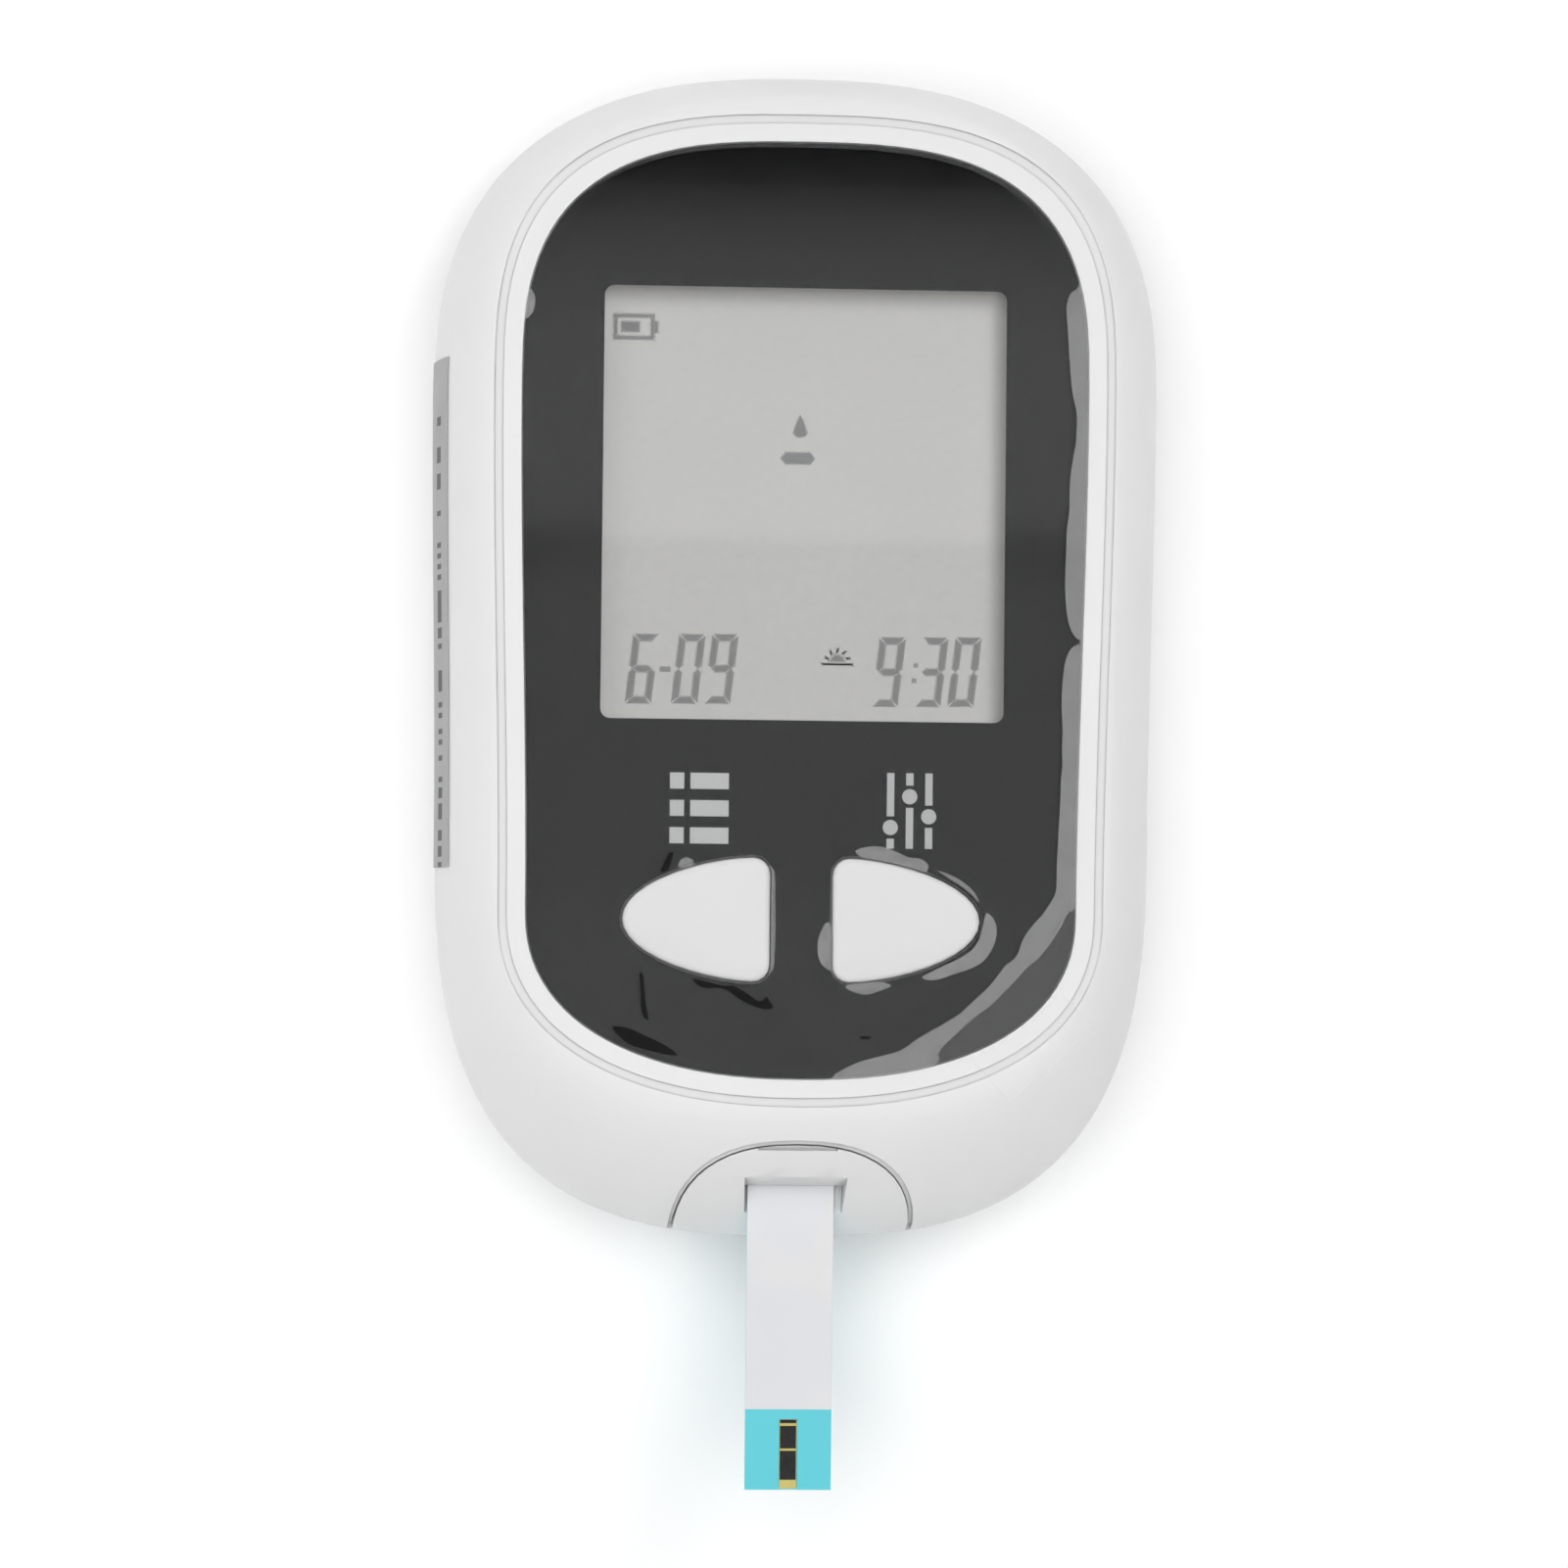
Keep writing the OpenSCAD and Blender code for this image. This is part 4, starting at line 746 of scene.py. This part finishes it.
# Creases where the film turns away and shows no light, painted dark as shade
CREASES = [
    [(-12.87, -26.21), (-12.64, -26.4), (-12.5, -27.77), (-12.38, -28.81), (-12.13, -30.04),
     (-12.43, -29.98), (-12.77, -29.07), (-12.75, -28.03)],
    [(-8.63, -26.69), (-7.71, -26.87), (-6.4, -27.19), (-5.36, -27.24), (-4.31, -27.82),
     (-3.26, -28.46), (-2.67, -28.06), (-2.48, -28.45), (-2.14, -28.84), (-2.6, -29.1),
     (-3.38, -28.98), (-4.3, -28.6), (-5.09, -28.15), (-5.75, -27.63), (-6.66, -27.38),
     (-7.44, -27.46), (-8.23, -27.2)],
    [(-15.09, -30.59), (-13.79, -30.71), (-12.48, -31.28), (-11.44, -31.72), (-10.52, -32.23),
     (-9.86, -32.81), (-10.9, -32.76), (-12.21, -32.44), (-13.52, -32.07), (-14.43, -31.43)],
    [(4.75, -31.23), (5.26, -31.15), (5.77, -31.24), (5.55, -31.4), (4.97, -31.39)],
    [(-11.33, -18.12), (-11.01, -17.34), (-10.63, -16.55), (-10.3, -16.55), (-10.49, -17.27),
     (-10.74, -17.99)],
]


def quarter_curve(wide, tall, power, steps):
    """Quarter of a superellipse, from its end on Y to its widest place."""
    turns = [math.pi / 2 * (1 - i / steps) for i in range(steps + 1)]
    return [(wide * max(math.cos(a), 0) ** (2 / power),
             tall * max(math.sin(a), 0) ** (2 / power)) for a in turns]


def panel_outline(grow):
    """Outline of the panel, drawn larger by an amount."""
    # Half width and Y of its widest places above and below, and how far it reaches beyond them
    top_wide, top_y, top_reach = 22.8, 21.2, 19.6
    low_wide, low_y, low_reach = 22.05, -21.3, 13.3
    upper = [(x, top_y + y) for x, y in quarter_curve(top_wide + grow, top_reach + grow, 2.87, 48)]
    lower = [(x, low_y - y) for x, y in quarter_curve(low_wide + grow, low_reach + grow, 2.29, 48)]
    side = []
    for i in range(1, 40):
        t = i / 40
        ease = t * t * (3 - 2 * t)
        side.append((top_wide + grow - (top_wide - low_wide) * ease, top_y - (top_y - low_y) * t))
    right = upper + side + lower[::-1]
    return right + [(-x, y) for x, y in reversed(right[1:-1])]


def button_outline(side, grow):
    """Half-oval button seen from above, drawn larger by an amount."""
    flat_side, corner, reach, half = 2.5, 1.4, 10.5, 5.0
    r = corner + grow
    tip = [((reach + grow) * math.cos(t) ** 1.25, (half + grow) * math.sin(t))
           for t in (math.radians(-80 + 4 * i) for i in range(41))]
    upper = [(r * math.cos(t), half - corner + r * math.sin(t))
             for t in (math.radians(90 + 15 * i) for i in range(7))]
    lower = [(r * math.cos(t), corner - half + r * math.sin(t))
             for t in (math.radians(180 + 15 * i) for i in range(7))]
    return [(side * (flat_side + corner + x), -21.9 + y) for x, y in tip + upper + lower]


def inside(points, outline):
    """For each point, whether it lies inside the outline."""
    hit = np.zeros(len(points), bool)
    x, y = points[:, 0], points[:, 1]
    for (ax, ay), (bx, by) in zip(outline, outline[1:] + outline[:1]):
        if ay != by:
            crosses = (ay > y) != (by > y)
            hit ^= crosses & (x < (bx - ax) * (y - ay) / (by - ay) + ax)
    return hit


def distance_to(points, outline):
    """Distance from each point to the nearest place on the outline."""
    best = np.full(len(points), 1e9)
    for a, b in zip(outline, outline[1:] + outline[:1]):
        a, b = np.array(a), np.array(b)
        along = b - a
        t = np.clip(((points - a) @ along) / max(along @ along, 1e-12), 0, 1)
        best = np.minimum(best, np.linalg.norm(points - (a + t[:, None] * along), axis=1))
    return best


def rounded_off(outline, step=0.3):
    """Outline with its corners rounded by a curve through its points, at even steps."""
    n, path = len(outline), []
    for i in range(n):
        a, b, c, d = (Vector(outline[(i + k) % n]) for k in (-1, 0, 1, 2))
        pieces = max(1, int((c - b).length / step))
        for j in range(pieces):
            t = j / pieces
            path.append(tuple(0.5 * (2 * b + (c - a) * t + (2 * a - 5 * b + 4 * c - d) * t * t
                                     + (3 * b - a - 3 * c + d) * t ** 3)))
    return path


def film_mesh(loops, edge):
    """Flat points and faces inside the film's edge, with every outline of the loops cut in."""
    points, edges = [], []
    for loop in loops:
        first = len(points)
        points += [Vector(p) for p in loop]
        edges += [(first + i, first + (i + 1) % len(loop)) for i in range(len(loop))]
    # Staggered grid of points between them, a little skewed so that no rows line up with an edge
    left, bottom, columns, rows, step, skew = -23.6, -35.6, 64, 104, 0.75, 0.003
    for i in range(columns):
        for j in range(rows):
            points.append(Vector((left + step * (i + 0.5 * (j % 2)) + skew * j,
                                  bottom + step * j)))
    flat, _, faces, *_ = delaunay_2d_cdt(points, edges, [], 0, 1e-5)
    where = np.array([tuple(p) for p in flat])
    centres = np.array([where[list(f)].mean(axis=0) for f in faces])
    return where, faces, centres, inside(centres, edge)


def pull_tab():
    """Points and faces of the tab, which leaves the panel's edge and curls up over the rim."""
    steps, across, long, wide, rise, ripple = 40, 30, 9.2, 9.0, 0.2, 0.015
    # Its middle line starts inside the panel's edge, 2.2 mm before this place at the rim's height
    root, (root_x, root_y, rim_z), turn = -2.2, (15.65, -28.2, 22.03), math.radians(-48)
    verts, faces = [], []
    for i in range(steps + 1):
        for j in range(across + 1):
            along, side = root + long * i / steps, wide * (j / across - 0.5)
            x = root_x + along * math.cos(turn) - side * math.sin(turn)
            y = root_y + along * math.sin(turn) + side * math.cos(turn)
            curl = rise * (i / steps) ** 2 + ripple * math.sin(0.4 * j + 0.3 * i)
            verts.append((x, y, rim_z + curl))
    beyond = ~inside(np.array([v[:2] for v in verts]), panel_outline(0.2))
    for i in range(steps):
        for j in range(across):
            a = i * (across + 1) + j
            corners = [a, a + 1, a + across + 2, a + across + 1]
            if all(beyond[c] for c in corners):
                faces.append(corners)
    return verts, faces


def protective_film():
    """One sheet over the panel, raised where it is loose, with its pull tab over the rim."""
    sheet_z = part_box("protective_film")[0].z / MM + 0.03
    edge = panel_outline(LENS_FIT - 0.02)
    holes = [button_outline(side, HOLE_FIT) for side in (-1, 1)]
    slots = [button_outline(side, BUTTON_FIT) for side in (-1, 1)]
    loose = [(rounded_off(path), painted_veil) for path, painted_veil in LOOSE]
    creases = [rounded_off(path, 0.2) for path in CREASES]
    loops = [edge, panel_outline(0)] + holes + slots + [path for path, _ in loose] + creases
    where, faces, centres, keep = film_mesh(loops, edge)
    for hole in holes:
        keep &= ~inside(centres, hole)
    # Where the film sticks, the panel's own gloss shows. Where it spans the slots, a faint pale
    # veil is painted for the light that the air under it reflects
    stuck = inside(centres, panel_outline(0))
    painted_veil, shine = np.where(stuck, 0.0, RIM_PAINTED_VEIL), np.where(stuck, 0.0, 1.0)
    tone = np.full(len(faces), CLEAR_TONE)
    height = np.zeros(len(where))
    for slot in slots:
        painted_veil[inside(centres, slot)] = SLOT_PAINTED_VEIL
        shine[inside(centres, slot)] = 1.0
    # Painted pale veil where the film has come loose, for the light that the air under it
    # reflects; the film also rises there
    for path, amount in loose:
        painted_veil[inside(centres, path)] = amount
        shine[inside(centres, path)] = LOOSE_SHINE
        rise = LOOSE_RISE * (1 - np.exp(-distance_to(where, path) / 0.5))
        height = np.maximum(height, np.where(inside(where, path), rise, 0))
    # Painted shade: a dark, nearly solid veil in the creases
    for path in creases:
        painted_veil[inside(centres, path)] = CREASE_PAINTED_VEIL
        tone[inside(centres, path)] = CREASE_PAINTED_SHADE
    for k, (x, y) in enumerate(where):
        height[k] += WAVES * noise.noise(Vector((x * 0.06, y * 0.06, 3.1)))
    verts = [(x, y, sheet_z + height[k]) for k, (x, y) in enumerate(where)]
    kept = [list(f) for f, wanted in zip(faces, keep) if wanted]
    tab_verts, tab_faces = pull_tab()
    kept += [[len(verts) + c for c in face] for face in tab_faces]
    verts += tab_verts
    film = make_piece("protective_film_sheet", verts, kept, finishes["film_plastic"], "housing",
                      smooth=True)
    for label, values, on_tab in (("painted_veil", painted_veil, TAB_PAINTED_VEIL), ("shine", shine, TAB_SHINE),
                                  ("tone", tone, CLEAR_TONE)):
        store = film.data.attributes.new(label, "FLOAT", "FACE")
        store.data.foreach_set("value", list(values[keep]) + [on_tab] * len(tab_faces))
    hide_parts("protective_film")


display_marks()
panel_symbols()
protective_film()


# ---- Table, lamps and camera ----

def table():
    """Flat pale table, much larger than what the camera sees."""
    half, z = 3.0, -0.0002
    mesh = bpy.data.meshes.new("table_top")
    mesh.from_pydata([(-half, -half, z), (half, -half, z), (half, half, z), (-half, half, z)], [],
                     [(0, 1, 2, 3)])
    mesh.materials.append(moulded("table_paint", grey(254), grey(253), 0.7, 0.8, scale=8.0,
                                  grain=700.0, strength=0.02))
    top = bpy.data.objects.new("table_top", mesh)
    bpy.context.scene.collection.objects.link(top)


def lamp(name, place_at, aim, size, power, glossy=True, diffuse=True):
    """Square soft lamp at a place, turned to what it lights."""
    data = bpy.data.lights.new(name, "AREA")
    data.shape = "RECTANGLE"
    data.size, data.size_y = size
    data.energy = power
    made = bpy.data.objects.new(name, data)
    bpy.context.scene.collection.objects.link(made)
    made.location = place_at
    made.rotation_euler = (Vector(aim) - Vector(place_at)).to_track_quat("-Z", "Y").to_euler()
    made.visible_camera = False
    made.visible_glossy = glossy
    made.visible_transmission = glossy
    made.visible_diffuse = diffuse


# Pale cards above the meter: from and to on Y, and how bright, with their height and width
CARDS = [(-0.110, -0.05, 1.35), (-0.05, -0.01, 1.25), (-0.01, 0.0503, 1.12),
         (0.0503, 0.0583, 0.82), (0.0583, 0.09, 1.47), (0.09, 0.098, 1.43), (0.098, 0.106, 1.31),
         (0.106, 0.112, 1.15), (0.112, 0.118, 0.95), (0.118, 0.1233, 0.62)]
CARD_HEIGHT = 0.6
CARD_WIDTH = 0.4


def card(near, far, brightness):
    """Pale card seen only as a reflection in the panel and the film."""
    x, deep, middle = 0.03, far - near, (near + far) / 2
    power = math.pi * CARD_WIDTH * deep * brightness
    lamp("reflection_card", (x, middle, CARD_HEIGHT), (x, middle, 0), (CARD_WIDTH, deep), power,
         diffuse=False)


def room():
    """White room that lights from the sides, less from the front. Reflections see it dimmed."""
    world = bpy.data.worlds.new("pale_room")
    world.use_nodes = True
    tree = world.node_tree
    background = tree.nodes["Background"]
    background.inputs["Color"].default_value = (1, 1, 1, 1)
    _, y, z = position(tree, "Generated")
    path = place(tree, "LightPath")
    walls = math_of(tree, "MULTIPLY", graded(tree, z, 0.0, 0.4, 2.15, 0.02),
                    graded(tree, y, -0.9, 0.1, 0.8, 1.0))
    reflected = graded(tree, z, 0.0, 0.8, 0.1, 0.01)
    lit = mixed(tree, path.outputs["Is Glossy Ray"], walls, reflected, data_type="FLOAT")
    seen = mixed(tree, path.outputs["Is Camera Ray"], lit, 1.0, data_type="FLOAT")
    tree.links.new(seen, background.inputs["Strength"])
    bpy.context.scene.world = world


def camera():
    """Camera almost straight above, a little to the lower left, as the photograph was taken."""
    # Directions of the picture's right and top sides, the camera's place in mm and its lens
    right = Vector((0.9978118, 0.0101243, 0.0653376))
    up = Vector((-0.0125493, 0.9992434, 0.0368113))
    place_at = Vector((-29.934, -27.432, 458.733)) * MM
    data = bpy.data.cameras.new("camera")
    data.sensor_width = 36
    data.lens = 125.153
    data.clip_start = 0.01
    made = bpy.data.objects.new("camera", data)
    bpy.context.scene.collection.objects.link(made)
    turn = Matrix((right, up, right.cross(up))).transposed().to_4x4()
    made.matrix_world = Matrix.Translation(place_at) @ turn
    bpy.context.scene.camera = made


table()
lamp("key_lamp", (0.42, 0.36, 0.74), (0, 0, 0.01), (0.4, 0.4), 1.8, glossy=False)
lamp("overhead", (-0.06, -0.07, 0.6), (-0.02, -0.02, 0.01), (0.6, 0.6), 3.5, glossy=False)
lamp("left_fill", (-0.6, 0.45, 0.7), (0, 0, 0.01), (0.7, 0.7), 1.6, glossy=False)
for near, far, brightness in CARDS:
    card(near, far, brightness)
room()
camera()
bpy.context.scene.view_settings.view_transform = "Standard"
